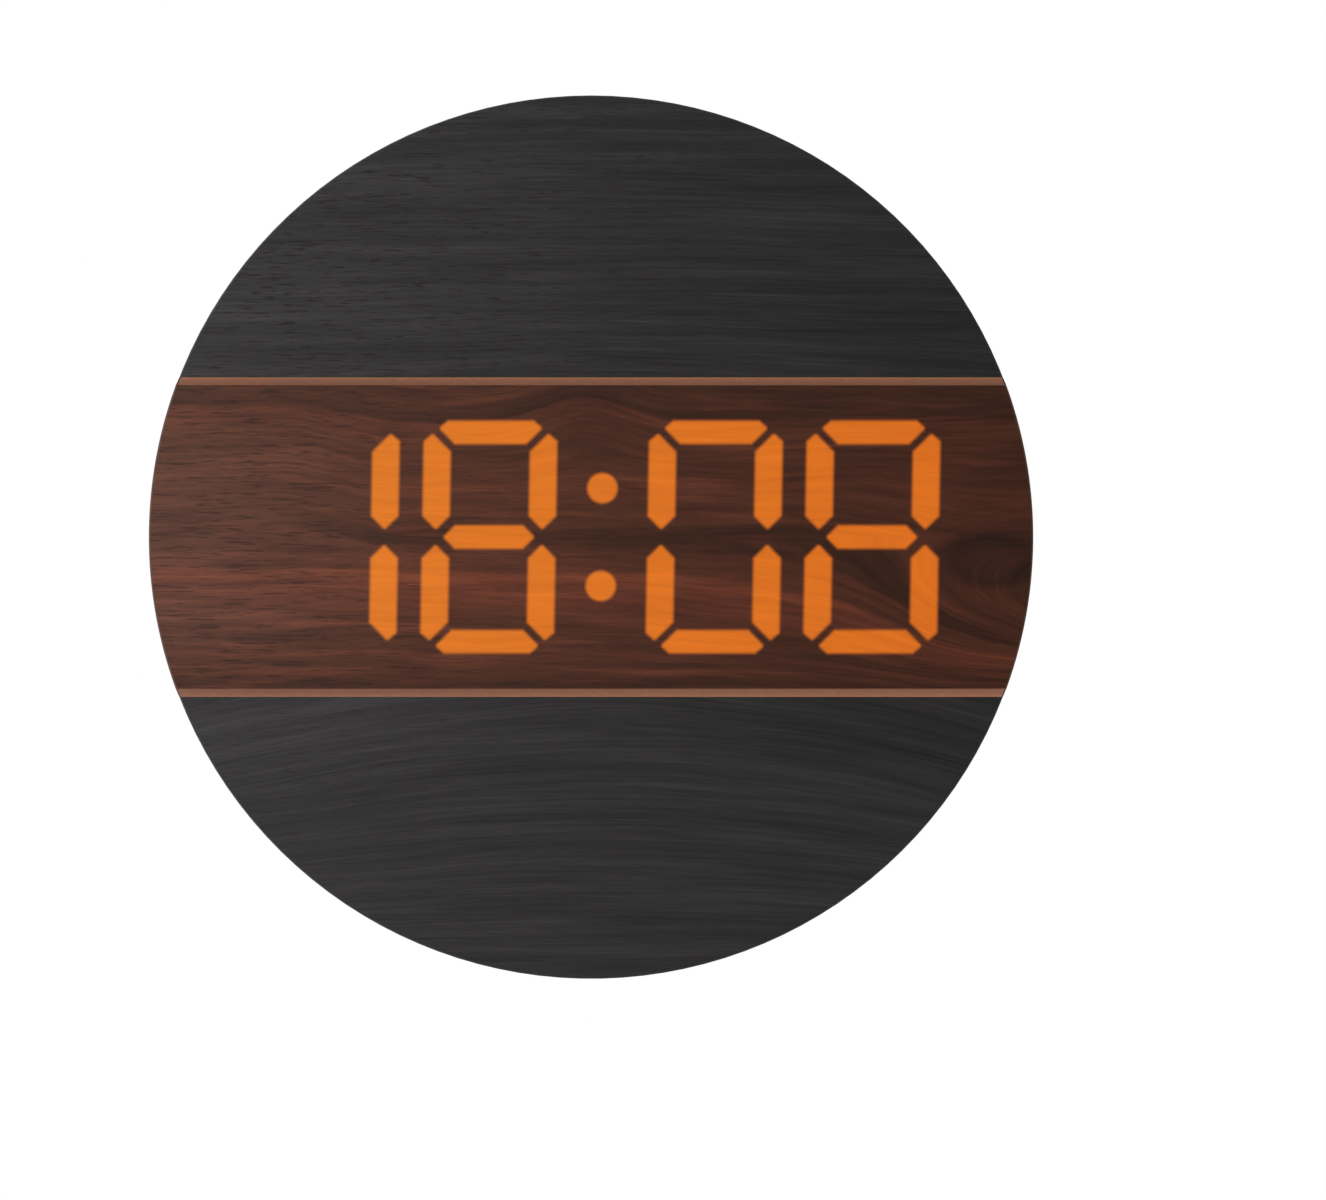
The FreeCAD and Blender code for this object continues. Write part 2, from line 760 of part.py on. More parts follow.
def hanger_plate(x):
    """Stamped steel keyhole plate, let in flush with the back."""
    plate = long_hole(hanger_width / 2, hanger_length / 2, -hanger_thickness, 0.0, x, hanger_centre_z)
    slot = slab(x - keyhole_slot_width / 2, x + keyhole_slot_width / 2, -hanger_thickness - past, past,
                hanger_z, hanger_z + keyhole_rise)
    cuts = [
        rod(keyhole_entry_diameter, -hanger_thickness - past, past, x, hanger_z),
        slot,
        rod(keyhole_slot_width, -hanger_thickness - past, past, x, hanger_z + keyhole_rise),
    ]
    reach = hanger_length / 2 - hanger_screw_inset
    for k in (-1, 1):
        cuts.append(countersunk_hole(x, hanger_centre_z + k * reach, 0.0, -hanger_thickness - past,
                                     hanger_screw_diameter, hanger_screw_head))
    return plate.cut(cuts)


def hanger_screws():
    return together(countersunk_screw(x, z, 0.0, hanger_screw_diameter, hanger_screw_head,
                                      hanger_screw_length) for x, z in hanger_screw_places())


# ---- Power socket ---------------------------------------------------------------------------------------
def down_rod(diameter, z0, z1):
    """Cylinder along Z on the socket's axis."""
    return Part.makeCylinder(diameter / 2, z1 - z0, vector(0, socket_axis_y, z0), vector(0, 0, 1))


def power_socket():
    half = socket_width / 2
    top = socket_mouth_z + socket_length
    body = slab(-half, half, board_back, board_back + socket_height, socket_mouth_z, top)
    body = body.cut(down_rod(socket_bore_diameter, socket_mouth_z - past, socket_mouth_z + socket_bore_depth))
    return body.cut(down_rod(socket_pin_diameter, socket_mouth_z, top + past))


def socket_pin():
    foot = socket_mouth_z + socket_bore_depth - socket_pin_length
    pin = down_rod(socket_pin_diameter, foot, socket_mouth_z + socket_length)
    tip = [e for e in pin.Edges if abs(e.BoundBox.ZMax - foot) < same_level]
    return pin.makeChamfer(socket_pin_chamfer, tip)


# ---- Push buttons and their switches -----------------------------------------------------------------------
def switch_base(x):
    half = switch_size / 2
    top = board_back + switch_base_height
    base = block(x, control_z, half, half, board_back, top)
    base = base.makeChamfer(switch_corner, along(base, vector(0, 1, 0)))
    cavity = plunger_diameter + 2 * plunger_clearance
    depth = plunger_overlap + button_travel + plunger_clearance - switch_cover_height
    return base.cut(rod(cavity, top - depth, top + past, x, control_z))


def switch_cover(x):
    half = switch_size / 2
    low = board_back + switch_base_height
    plate = block(x, control_z, half, half, low, switch_top)
    plate = plate.makeChamfer(switch_corner, along(plate, vector(0, 1, 0)))
    hole = plunger_diameter + 2 * plunger_clearance
    return plate.cut(rod(hole, low - past, switch_top + past, x, control_z))


def switch_plunger(x):
    return rod(plunger_diameter, switch_top - plunger_overlap, flange_front, x, control_z)


def button(name):
    """Cap with a flange behind the well's floor and its symbol sunk in the face."""
    x = button_x[name]
    face = well_floor_back + button_stand
    flange = rod(button_diameter + 2 * button_flange, flange_front, flange_back, x, control_z)
    stem = rod(button_diameter, flange_back, face, x, control_z)
    stem = stem.makeFillet(button_edge_round, at_level(stem, face))
    return flange.fuse(stem).cut(button_symbol(name, x, face))


def button_symbol(name, x, face):
    """A ring for set, and arrowheads for up and down."""
    sunk = face - symbol_depth
    if name == "set":
        ring = rod(2 * symbol_size, sunk, face + past, x, control_z)
        return ring.cut(rod(symbol_size, sunk, face + past, x, control_z))
    way = symbol_size if name == "up" else -symbol_size
    foot = control_z - way / 2
    return prism([(x - symbol_size, foot), (x + symbol_size, foot), (x, control_z + way)], sunk, face + past)


# ---- Alarm slide switch ------------------------------------------------------------------------------------
alarm_top = board_back + alarm_switch_height
alarm_rest_x = alarm_x - alarm_travel / 2


def alarm_switch_body():
    half_x = alarm_switch_length / 2
    half_z = alarm_switch_width / 2
    body = block(alarm_x, control_z, half_x, half_z, board_back, alarm_top)
    room_x = (alarm_foot_length + alarm_travel) / 2 + alarm_clearance
    room_z = alarm_foot_width / 2 + alarm_clearance
    ceiling = alarm_top - alarm_wall
    floor = ceiling - alarm_foot_height - 2 * alarm_clearance
    room = block(alarm_x, control_z, room_x, room_z, floor, ceiling)
    slot_x = (alarm_lever + alarm_travel) / 2 + alarm_clearance
    slot_z = alarm_lever / 2 + alarm_clearance
    slot = block(alarm_x, control_z, slot_x, slot_z, ceiling - alarm_clearance, alarm_top + past)
    return body.cut(room.fuse(slot))


def alarm_slider():
    """Foot inside the switch with the lever that stands through both slots."""
    foot_back = alarm_top - alarm_wall - alarm_clearance
    foot = block(alarm_rest_x, control_z, alarm_foot_length / 2, alarm_foot_width / 2,
                 foot_back - alarm_foot_height, foot_back)
    lever = block(alarm_rest_x, control_z, alarm_lever / 2, alarm_lever / 2,
                  foot_back, well_floor_back + button_play)
    return foot.fuse(lever)


def alarm_knob():
    """Ribbed thumb piece on the lever, above the floor of the well."""
    low = well_floor_back + button_play
    top = low + alarm_knob_height
    half_z = alarm_knob_width / 2
    knob = block(alarm_rest_x, control_z, alarm_knob_length / 2, half_z, low, top)
    knob = knob.makeChamfer(alarm_rib_width / 2, at_level(knob, top))
    grooves = []
    for i in (-2, 0, 2):
        x = alarm_rest_x + i * alarm_rib_width
        grooves.append(block(x, control_z, alarm_rib_width / 2, half_z + past,
                             top - alarm_rib_width, top + past))
    return knob.cut(grooves)


# ---- Battery ---------------------------------------------------------------------------------------------
holder_radius = cell_diameter / 2 + cell_clearance + holder_wall
cell_front = board_back + holder_floor + contact_thickness
cell_back = cell_front + cell_height


def battery_holder():
    """Ring that grips the cell, open at the bottom for a fingertip and at the top for the contact."""
    low = board_back + holder_floor
    high = cell_front + cell_height - cell_step_height
    body = rod(2 * holder_radius, board_back, high, battery_x, battery_z)
    room = rod(cell_diameter + 2 * cell_clearance, low, high + past, battery_x, battery_z)
    half = holder_notch / 2
    finger_notch = slab(battery_x - half, battery_x + half, low, high + past,
                        battery_z - holder_radius - past, battery_z - holder_notch_rise)
    half = contact_width / 2 + cell_clearance
    contact_notch = slab(battery_x - half, battery_x + half, low, high + past,
                         battery_z + holder_notch_rise, battery_z + holder_radius + past)
    return body.cut([room, finger_notch, contact_notch])


def negative_contact():
    """Flat strip under the cell."""
    low = board_back + holder_floor
    reach = cell_diameter / 2 - cell_step - cell_clearance
    strip = block(battery_x, battery_z, reach, contact_width / 2, low, low + contact_thickness)
    return strip.makeChamfer(contact_chamfer, along(strip, vector(0, 1, 0)))


def positive_clip():
    """Sprung strip that stands at the top of the cell and hooks over its rim."""
    half = contact_width / 2
    wall = battery_z + cell_diameter / 2 + cell_clearance
    low = board_back + holder_floor
    upright = slab(battery_x - half, battery_x + half, low, cell_back + contact_thickness,
                   wall, wall + contact_thickness)
    hook = slab(battery_x - half, battery_x + half, cell_back, cell_back + contact_thickness,
                wall - clip_hook, wall + contact_thickness)
    return upright.fuse(hook).removeSplitter()


def coin_cell():
    """Lithium coin cell: narrow negative cap in front, wide positive can behind."""
    cap = rod(cell_diameter - 2 * cell_step, cell_front, cell_front + cell_step_height, battery_x, battery_z)
    can = rod(cell_diameter, cell_front + cell_step_height, cell_back, battery_x, battery_z)
    can = can.makeFillet(cell_step_height / 2, at_level(can, cell_back))
    return cap.fuse(can)


def battery_door():
    """Door with a round hinge edge and two stub pins at the top, and a thumb grip at the bottom."""
    hinge_y, hinge_z = door_hinge()
    back = -door_sink
    half = door_width / 2
    foot = battery_z - door_height / 2
    leaf = slab(battery_x - half, battery_x + half, back - door_thickness, back, foot, hinge_z)
    low_corners = [e for e in along(leaf, vector(0, 1, 0)) if e.BoundBox.ZMax < battery_z]
    leaf = leaf.makeFillet(door_corner, low_corners)
    edge = Part.makeCylinder(door_thickness / 2, door_width, vector(battery_x - half, hinge_y, hinge_z),
                             vector(1, 0, 0))
    pins = Part.makeCylinder(door_pin_diameter / 2, door_width + 2 * door_pin_length,
                             vector(battery_x - half - door_pin_length, hinge_y, hinge_z), vector(1, 0, 0))
    grip_half = door_grip_width / 2
    grooves = []
    for i in range(door_grip_count):
        z = foot + door_grip_rise + i * door_grip_pitch
        grooves.append(slab(battery_x - grip_half, battery_x + grip_half, back - door_grip_depth, back + past,
                            z - door_grip_groove / 2, z + door_grip_groove / 2))
    return leaf.multiFuse([edge, pins]).removeSplitter().cut(grooves)


# ---- Parts soldered to the back of the circuit board --------------------------------------------------
def chip_body(x, z, long, wide):
    low = board_back + chip_stand
    top = low + chip_height
    body = block(x, z, long / 2, wide / 2, low, top)
    body = body.makeChamfer(chip_edge, at_level(body, top))
    dot_x = x - long / 2 + chip_dot_inset
    dot_z = z - wide / 2 + chip_dot_inset
    return body.cut(rod(chip_dot, top - chip_dot_depth, top + past, dot_x, dot_z))


def chip_legs(x, z, wide, count):
    """Two rows of gull-wing legs: out of the body, down, and along the board."""
    found = []
    mid = board_back + chip_stand + chip_height / 2
    for row in (-1, 1):
        edge = z + row * wide / 2
        knee = edge + row * leg_reach / 2
        toe = edge + row * leg_reach
        for i in range(count // 2):
            at = x + (i - (count // 2 - 1) / 2) * leg_pitch
            low_x, high_x = at - leg_width / 2, at + leg_width / 2
            out = slab(low_x, high_x, mid - leg_thickness, mid, min(edge, knee), max(edge, knee))
            inner = knee - row * leg_thickness
            down = slab(low_x, high_x, board_back, mid, min(inner, knee), max(inner, knee))
            foot = slab(low_x, high_x, board_back, board_back + leg_thickness,
                        min(inner, toe), max(inner, toe))
            found.append(out.multiFuse([down, foot]).removeSplitter())
    return found


def processor_chip():
    return chip_body(processor_x, processor_z, processor_length, processor_width)


def processor_legs():
    return together(chip_legs(processor_x, processor_z, processor_width, processor_leg_count))


def driver_chips():
    return together(chip_body(x, driver_z, driver_length, driver_width) for x in (-driver_x, driver_x))


def driver_legs():
    legs = [chip_legs(x, driver_z, driver_width, driver_leg_count) for x in (-driver_x, driver_x)]
    return together(legs[0] + legs[1])


def clock_crystal():
    radius = crystal_diameter / 2
    y = board_back + radius
    can = Part.makeCylinder(radius, crystal_length, vector(crystal_x, y, crystal_z), vector(0, 0, 1))
    ends = [e for e in can.Edges if abs(e.BoundBox.ZMin - crystal_z - crystal_length) < same_level]
    return can.makeFillet(crystal_edge, ends)


def storage_capacitor():
    half = capacitor_base / 2
    low = board_back + capacitor_base_height
    base = block(capacitor_x, capacitor_z, half, half, board_back, low)
    can = rod(capacitor_diameter, low, board_back + capacitor_height, capacitor_x, capacitor_z)
    can = can.makeFillet(can_edge, at_level(can, board_back + capacitor_height))
    return base.fuse(can)


def power_regulator():
    """Three-leg regulator with its cooling tab."""
    half_z = regulator_width / 2
    far = half_z + regulator_leg_reach
    metal_top = board_back + regulator_leg_thickness

    def strip(x, width, way):
        z0, z1 = sorted((regulator_z, regulator_z + way * far))
        return slab(x - width / 2, x + width / 2, board_back, metal_top, z0, z1)

    body = block(regulator_x, regulator_z, regulator_length / 2, half_z,
                 metal_top, board_back + regulator_height)
    metal = [strip(regulator_x, regulator_tab_width, 1)]
    metal += [strip(regulator_x + i * regulator_leg_pitch, regulator_leg_width, -1) for i in (-1, 0, 1)]
    return body.multiFuse(metal)


def segment_resistors():
    """Row of chip resistors above the processor, one for each driver line."""
    found = []
    for i in range(resistor_count):
        x = processor_x + (i - (resistor_count - 1) / 2) * resistor_pitch
        z = processor_z + resistor_row_z
        found.append(block(x, z, resistor_x / 2, resistor_z / 2, board_back, board_back + resistor_height))
    return together(found)


def buzzer():
    top = board_back + buzzer_height
    can = rod(buzzer_diameter, board_back, top, buzzer_x, buzzer_z)
    can = can.makeFillet(can_edge, at_level(can, top))
    return can.cut(rod(buzzer_port_diameter, top - buzzer_port_depth, top + past, buzzer_x, buzzer_z))


def thermistor():
    """Glass bead on two leads, held off the board towards the vent."""
    bead_y = board_back + lead_height
    bead = Part.makeSphere(thermistor_bead_diameter / 2, vector(thermistor_x, bead_y, thermistor_z))
    leads = []
    for side_x in (-1, 1):
        leads.append(rod(lead_diameter, board_back, bead_y, thermistor_x + side_x * lead_pitch / 2,
                         thermistor_z))
    return bead.multiFuse(leads)


# ---- Build -----------------------------------------------------------------------------------------------
def all_parts():
    parts = {
        "carcass": carcass(),
        "black_film": black_film(),
        "back_film": back_film(),
        "rim_edging": rim_edging(),
        "walnut_board": walnut_board(),
        "walnut_film": walnut_film(),
        "walnut_edging_left": walnut_edging(True),
        "walnut_edging_right": walnut_edging(False),
        "light_guide_colon": colon_guide(),
        "light_frame": light_frame(),
        "circuit_board": circuit_board(),
        "leds_colon": colon_leds(),
        "board_screws": board_screws(),
        "rear_cover": rear_cover(),
        "cover_screws": cover_screws(),
        "hanger_plate_left": hanger_plate(-hanger_spacing / 2),
        "hanger_plate_right": hanger_plate(hanger_spacing / 2),
        "hanger_screws": hanger_screws(),
        "power_socket": power_socket(),
        "socket_pin": socket_pin(),
        "alarm_switch_body": alarm_switch_body(),
        "alarm_slider": alarm_slider(),
        "alarm_knob": alarm_knob(),
        "battery_holder": battery_holder(),
        "negative_contact": negative_contact(),
        "positive_clip": positive_clip(),
        "coin_cell": coin_cell(),
        "battery_door": battery_door(),
        "processor_chip": processor_chip(),
        "processor_legs": processor_legs(),
        "driver_chips": driver_chips(),
        "driver_legs": driver_legs(),
        "clock_crystal": clock_crystal(),
        "storage_capacitor": storage_capacitor(),
        "power_regulator": power_regulator(),
        "segment_resistors": segment_resistors(),
        "buzzer": buzzer(),
        "thermistor": thermistor(),
    }
    for digit, x in digit_x.items():
        parts["light_guide_" + digit] = light_guide(x)
        parts["leds_" + digit] = digit_leds(x)
    for name, x in button_x.items():
        parts[name + "_switch_base"] = switch_base(x)
        parts[name + "_switch_cover"] = switch_cover(x)
        parts[name + "_switch_plunger"] = switch_plunger(x)
        parts[name + "_button"] = button(name)
    return parts


def main():
    os.makedirs("parts", exist_ok=True)
    for name, shape in all_parts().items():
        if not shape.isValid():
            print("not valid:", name)
        shape.exportStep("parts/" + name + ".step")


main()
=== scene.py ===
"""Looks of a round LED alarm clock: a black wood-grain disc with a walnut band that lit digits shine through."""

import bmesh
import bpy
import math
import mathutils
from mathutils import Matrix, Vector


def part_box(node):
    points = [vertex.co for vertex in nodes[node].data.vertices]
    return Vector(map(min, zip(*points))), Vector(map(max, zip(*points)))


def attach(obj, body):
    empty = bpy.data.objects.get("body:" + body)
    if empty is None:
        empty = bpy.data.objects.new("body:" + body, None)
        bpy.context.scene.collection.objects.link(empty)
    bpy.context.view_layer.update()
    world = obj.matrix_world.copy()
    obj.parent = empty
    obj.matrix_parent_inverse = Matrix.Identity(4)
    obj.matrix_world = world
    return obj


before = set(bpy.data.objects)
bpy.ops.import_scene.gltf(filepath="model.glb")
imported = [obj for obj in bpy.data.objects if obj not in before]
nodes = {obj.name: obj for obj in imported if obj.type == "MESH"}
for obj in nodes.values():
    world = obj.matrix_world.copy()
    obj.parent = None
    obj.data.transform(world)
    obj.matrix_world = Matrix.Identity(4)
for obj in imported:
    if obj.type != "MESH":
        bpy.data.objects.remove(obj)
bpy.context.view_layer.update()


# ---- Fibreboard disc -----------------------------------------------------------------------
# The disc that everything is let into: 15 mm medium-density fibreboard. It is routed from the back
# for the electronics, the plug and the hangers, then sprayed matt black, so only its cuts show.

def linear(colour):
    """sRGB hex to linear RGBA."""
    parts = [int(colour[i:i + 2], 16) / 255 for i in (1, 3, 5)]
    return tuple(p / 12.92 if p <= 0.04045 else ((p + 0.055) / 1.055) ** 2.4 for p in parts) + (1.0,)


def pitch(x, y, z):
    """Mapping scale that makes one unit of a pattern this many millimetres along each axis."""
    return (1000 / x, 1000 / y, 1000 / z)


def add(tree, kind, inputs=None, stops=(), **settings):
    """Adds a shader node with its settings; each input takes a value, a socket or a node's first output."""
    made = tree.nodes.new("ShaderNode" + kind)
    for name, value in settings.items():
        setattr(made, name, value)
    for name, value in (inputs or {}).items():
        if isinstance(value, bpy.types.Node):
            value = value.outputs[0]
        if isinstance(value, bpy.types.NodeSocket):
            tree.links.new(value, made.inputs[name])
        else:
            made.inputs[name].default_value = value
    for i, (at, colour) in enumerate(stops):
        elements = made.color_ramp.elements
        element = elements[i] if i < 2 else elements.new(at)
        element.position = at
        element.color = linear(colour)
    return made


def finish(name, **sockets):
    """A new material with one Principled shader. Returns the material, its tree and the shader."""
    material = bpy.data.materials.new(name)
    material.use_nodes = True
    shader = material.node_tree.nodes["Principled BSDF"]
    for socket, value in sockets.items():
        shader.inputs[socket.replace("_", " ")].default_value = value
    return material, material.node_tree, shader


def feed(tree, shader, **made):
    """Links the first output of nodes to the shader's sockets."""
    for socket, value in made.items():
        tree.links.new(value.outputs[0], shader.inputs[socket.replace("_", " ")])


def dress(material, *names):
    """Puts a material on CAD nodes."""
    for name in names:
        slots = nodes[name].data.materials
        for i in range(len(slots)):
            slots[i] = material


# Routed fibreboard under a thin coat: torn fibres stand up, so the coat looks dry and slightly furry.
sprayed_mdf, tree, shader = finish("mdf_routed_sprayed_matt_black", Roughness=0.82, IOR=1.46)
where = add(tree, "TexCoord").outputs["Object"]
fibres = add(tree, "Mapping", {"Vector": where, "Scale": pitch(1.4, 0.5, 0.5)})
felt = add(tree, "TexNoise", {"Vector": fibres, "Scale": 1.0, "Detail": 4.0, "Roughness": 0.7})
coat = add(tree, "ValToRGB", {"Fac": felt}, [(0.35, "#191817"), (0.72, "#2e2b28")])
relief = add(tree, "Bump", {"Height": felt, "Strength": 0.5, "Distance": 0.00015})
feed(tree, shader, Base_Color=coat, Normal=relief)
dress(sprayed_mdf, "carcass")


# ---- Black face film -----------------------------------------------------------------------
# PVC furniture film, printed and embossed as black-stained oak, pressed onto the disc's front.
# It is satin, so a broad light turns its long level grain lines slightly grey.

black_film, tree, shader = finish("pvc_film_embossed_black_oak", Roughness=0.5, IOR=1.46, Specular_IOR_Level=0.22)
where = add(tree, "TexCoord").outputs["Object"]
place = add(tree, "SeparateXYZ", {"Vector": where})
across, height = place.outputs["X"], place.outputs["Z"]

# The grain lines sag away from the middle: 10 mm at 100 mm out in the lower part, but hardly at all
# near the top and the foot. They also wander by a few millimetres.
squared = add(tree, "Math", {0: across, 1: across}, operation="MULTIPLY")
foot_share = add(tree, "MapRange", {"Value": height, "From Min": -0.135, "From Max": -0.085, "To Min": 0.15,
                                    "To Max": 1.0})
top_share = add(tree, "MapRange", {"Value": height, "From Min": -0.04, "From Max": 0.06, "To Min": 1.0,
                                   "To Max": 0.15})
sag_share = add(tree, "Math", {0: foot_share, 1: top_share}, operation="MULTIPLY")
sag = add(tree, "Math", {0: squared, 1: sag_share}, operation="MULTIPLY")
slow = add(tree, "Mapping", {"Vector": where, "Scale": pitch(130, 130, 42)})
wander = add(tree, "TexNoise", {"Vector": slow, "Scale": 1.0, "Detail": 2.0})
risen = add(tree, "Math", {0: sag, 1: height}, operation="ADD")
wander_size = 0.006
level = add(tree, "Math", {0: wander, 1: wander_size, 2: risen}, operation="MULTIPLY_ADD")
along_grain = add(tree, "CombineXYZ", {"X": across, "Z": level})

lines_at = add(tree, "Mapping", {"Vector": along_grain, "Scale": pitch(46, 46, 0.85)})
lines = add(tree, "TexNoise", {"Vector": lines_at, "Scale": 1.0, "Detail": 5.0, "Roughness": 0.66})
bands_at = add(tree, "Mapping", {"Vector": along_grain, "Scale": pitch(160, 160, 5.5)})
bands = add(tree, "TexNoise", {"Vector": bands_at, "Scale": 1.0, "Detail": 3.0, "Roughness": 0.6})
both = add(tree, "Math", {0: lines, 1: bands}, operation="ADD")
half = add(tree, "Math", {0: both, 1: 0.5}, operation="MULTIPLY")
stain = add(tree, "ValToRGB", {"Fac": half}, [(0.34, "#191718"), (0.50, "#252324"), (0.66, "#323030")])

# Open pores: short dark dashes, 5 to 8 mm long, deepest at the upper left.
pores_at = add(tree, "Mapping", {"Vector": where, "Scale": pitch(6.5, 6.5, 0.6)})
pores = add(tree, "TexNoise", {"Vector": pores_at, "Scale": 1.0, "Detail": 2.0, "Roughness": 0.5})
pore = add(tree, "MapRange", {"Value": pores, "From Min": 0.55, "From Max": 0.68})
leftward = add(tree, "MapRange", {"Value": across, "From Min": 0.06, "From Max": -0.10, "To Min": 0.2,
                                  "To Max": 0.95})
upward = add(tree, "MapRange", {"Value": height, "From Min": -0.06, "From Max": 0.05, "To Min": 0.4})
deepest = add(tree, "Math", {0: leftward, 1: upward}, operation="MULTIPLY")
pore_depth = add(tree, "Math", {0: pore, 1: deepest}, operation="MULTIPLY")
pored = add(tree, "MixRGB", {"Fac": pore_depth, "Color1": stain, "Color2": linear("#130e0b")})

# Hairlines: a painted highlight, thin pale scratches painted into the colour where the pressed ridges between the
# pores catch the light.
hairs_at = add(tree, "Mapping", {"Vector": along_grain, "Scale": pitch(34, 34, 0.8), "Location": (3.0, 0, 7.0)})
hairs = add(tree, "TexNoise", {"Vector": hairs_at, "Scale": 1.0, "Detail": 3.0, "Roughness": 0.6})
painted_hairline_highlight = add(tree, "MapRange", {"Value": hairs, "From Min": 0.60, "From Max": 0.76, "To Max": 0.34})
hairline_highlighted = add(tree, "MixRGB", {"Fac": painted_hairline_highlight, "Color1": pored, "Color2": linear("#46423f")})
relief = add(tree, "Math", {0: half, 1: pore_depth}, operation="SUBTRACT")
emboss = add(tree, "Bump", {"Height": relief, "Strength": 0.35, "Distance": 0.00008})
feed(tree, shader, Base_Color=hairline_highlighted, Normal=emboss)
dress(black_film, "black_film")


# ---- Backing film --------------------------------------------------------------------------
# Thin black melamine paper glued to the disc's back, so that the board can't warp. It has a fine
# even orange-peel surface with no grain.

backing, tree, shader = finish("melamine_paper_matt_black", Roughness=0.6, IOR=1.5)
where = add(tree, "TexCoord").outputs["Object"]
peel_at = add(tree, "Mapping", {"Vector": where, "Scale": pitch(0.7, 0.7, 0.7)})
peel = add(tree, "TexNoise", {"Vector": peel_at, "Scale": 1.0, "Detail": 3.0})
cloud_at = add(tree, "Mapping", {"Vector": where, "Scale": pitch(45, 45, 45)})
clouds = add(tree, "TexNoise", {"Vector": cloud_at, "Scale": 1.0, "Detail": 4.0})
tone = add(tree, "ValToRGB", {"Fac": clouds}, [(0.3, "#1f1f20"), (0.7, "#252526")])
relief = add(tree, "Bump", {"Height": peel, "Strength": 0.25, "Distance": 0.00006})
feed(tree, shader, Base_Color=tone, Normal=relief)
dress(backing, "back_film")


# ---- Rim edging ----------------------------------------------------------------------------
# A 0.5 mm black PVC band, hot-glued round the rim and scraped flush with both faces. Its satin
# face has faint level roller lines that run round the disc.

rim_band, tree, shader = finish("pvc_edge_band_rolled_black", Roughness=0.42, IOR=1.5)
where = add(tree, "TexCoord").outputs["Object"]
roll_at = add(tree, "Mapping", {"Vector": where, "Scale": pitch(60, 0.8, 60)})
roller = add(tree, "TexNoise", {"Vector": roll_at, "Scale": 1.0, "Detail": 4.0, "Roughness": 0.6})
tone = add(tree, "ValToRGB", {"Fac": roller}, [(0.3, "#1f1e1e"), (0.7, "#2b2a29")])
relief = add(tree, "Bump", {"Height": roller, "Strength": 0.2, "Distance": 0.00005})
feed(tree, shader, Base_Color=tone, Normal=relief)
dress(rim_band, "rim_edging")


# ---- Walnut board --------------------------------------------------------------------------
# The 3 mm fibreboard of the band. Its long edges are bevelled after the film is on, so they show
# the bare board as light brown lines, stained to suit the film and palest at the foot.

bare_mdf, tree, shader = finish("mdf_bevelled_stained_light_brown", Roughness=0.72, IOR=1.46)
where = add(tree, "TexCoord").outputs["Object"]
place = add(tree, "SeparateXYZ", {"Vector": where})
board_low, board_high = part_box("walnut_board")
depth = add(tree, "MapRange", {"Value": place.outputs["Y"], "From Min": board_low.y, "From Max": board_high.y})
layers = add(tree, "ValToRGB", {"Fac": depth}, [(0.0, "#764d39"), (0.6, "#815540"), (1.0, "#906148")])
felt_at = add(tree, "Mapping", {"Vector": where, "Scale": pitch(2.4, 0.45, 0.45)})
felt = add(tree, "TexNoise", {"Vector": felt_at, "Scale": 1.0, "Detail": 4.0, "Roughness": 0.65})
fleck = add(tree, "MapRange", {"Value": felt, "From Min": 0.3, "From Max": 0.7, "To Min": 0.82, "To Max": 1.16})
# Painted light: the bevels are made paler towards the right end, which evens out the window light's fall-off along
# them.
painted_right_light = add(tree, "MapRange", {"Value": place.outputs["X"], "From Min": -0.1, "From Max": 0.12, "To Min": 0.95,
                              "To Max": 1.45})
fleck_and_painted_light = add(tree, "Math", {0: fleck, 1: painted_right_light}, operation="MULTIPLY")
flecked = add(tree, "VectorMath", {0: layers, "Scale": fleck_and_painted_light}, operation="SCALE")
relief = add(tree, "Bump", {"Height": felt, "Strength": 0.35, "Distance": 0.0001})
feed(tree, shader, Base_Color=flecked, Normal=relief)
dress(bare_mdf, "walnut_board")


# ---- Walnut film ---------------------------------------------------------------------------
# PVC film printed as American walnut, laid over the band and its light windows in one piece, so
# the unlit digits don't show. Semi-matt, with lines that arch over the colon and drop to the right.

# The print's browns, from its darkest line to its one pale streak, and the tone at each height in
# millimetres from the band's middle, as they lie at the colon.
half_band = 53.0
dark, deep, brown, warm, ruddy, streak = "#351a0d", "#3c1f12", "#432214", "#4a2517", "#55291a", "#64311e"
walnut_rows = [
    (-half_band, deep), (-49.0, dark), (-45.0, brown), (-41.0, deep), (-38.5, warm), (-34.0, deep), (-30.0, brown),
    (-24.0, warm), (-18.0, ruddy), (-14.5, ruddy), (-12.5, streak), (-9.5, warm), (-6.0, warm), (-3.5, brown),
    (-1.0, dark), (1.5, dark), (5.0, brown), (10.0, brown), (14.0, warm), (18.0, warm), (22.0, brown),
    (29.0, brown), (34.0, warm), (37.0, warm), (39.5, dark), (42.0, deep), (half_band, deep),
]


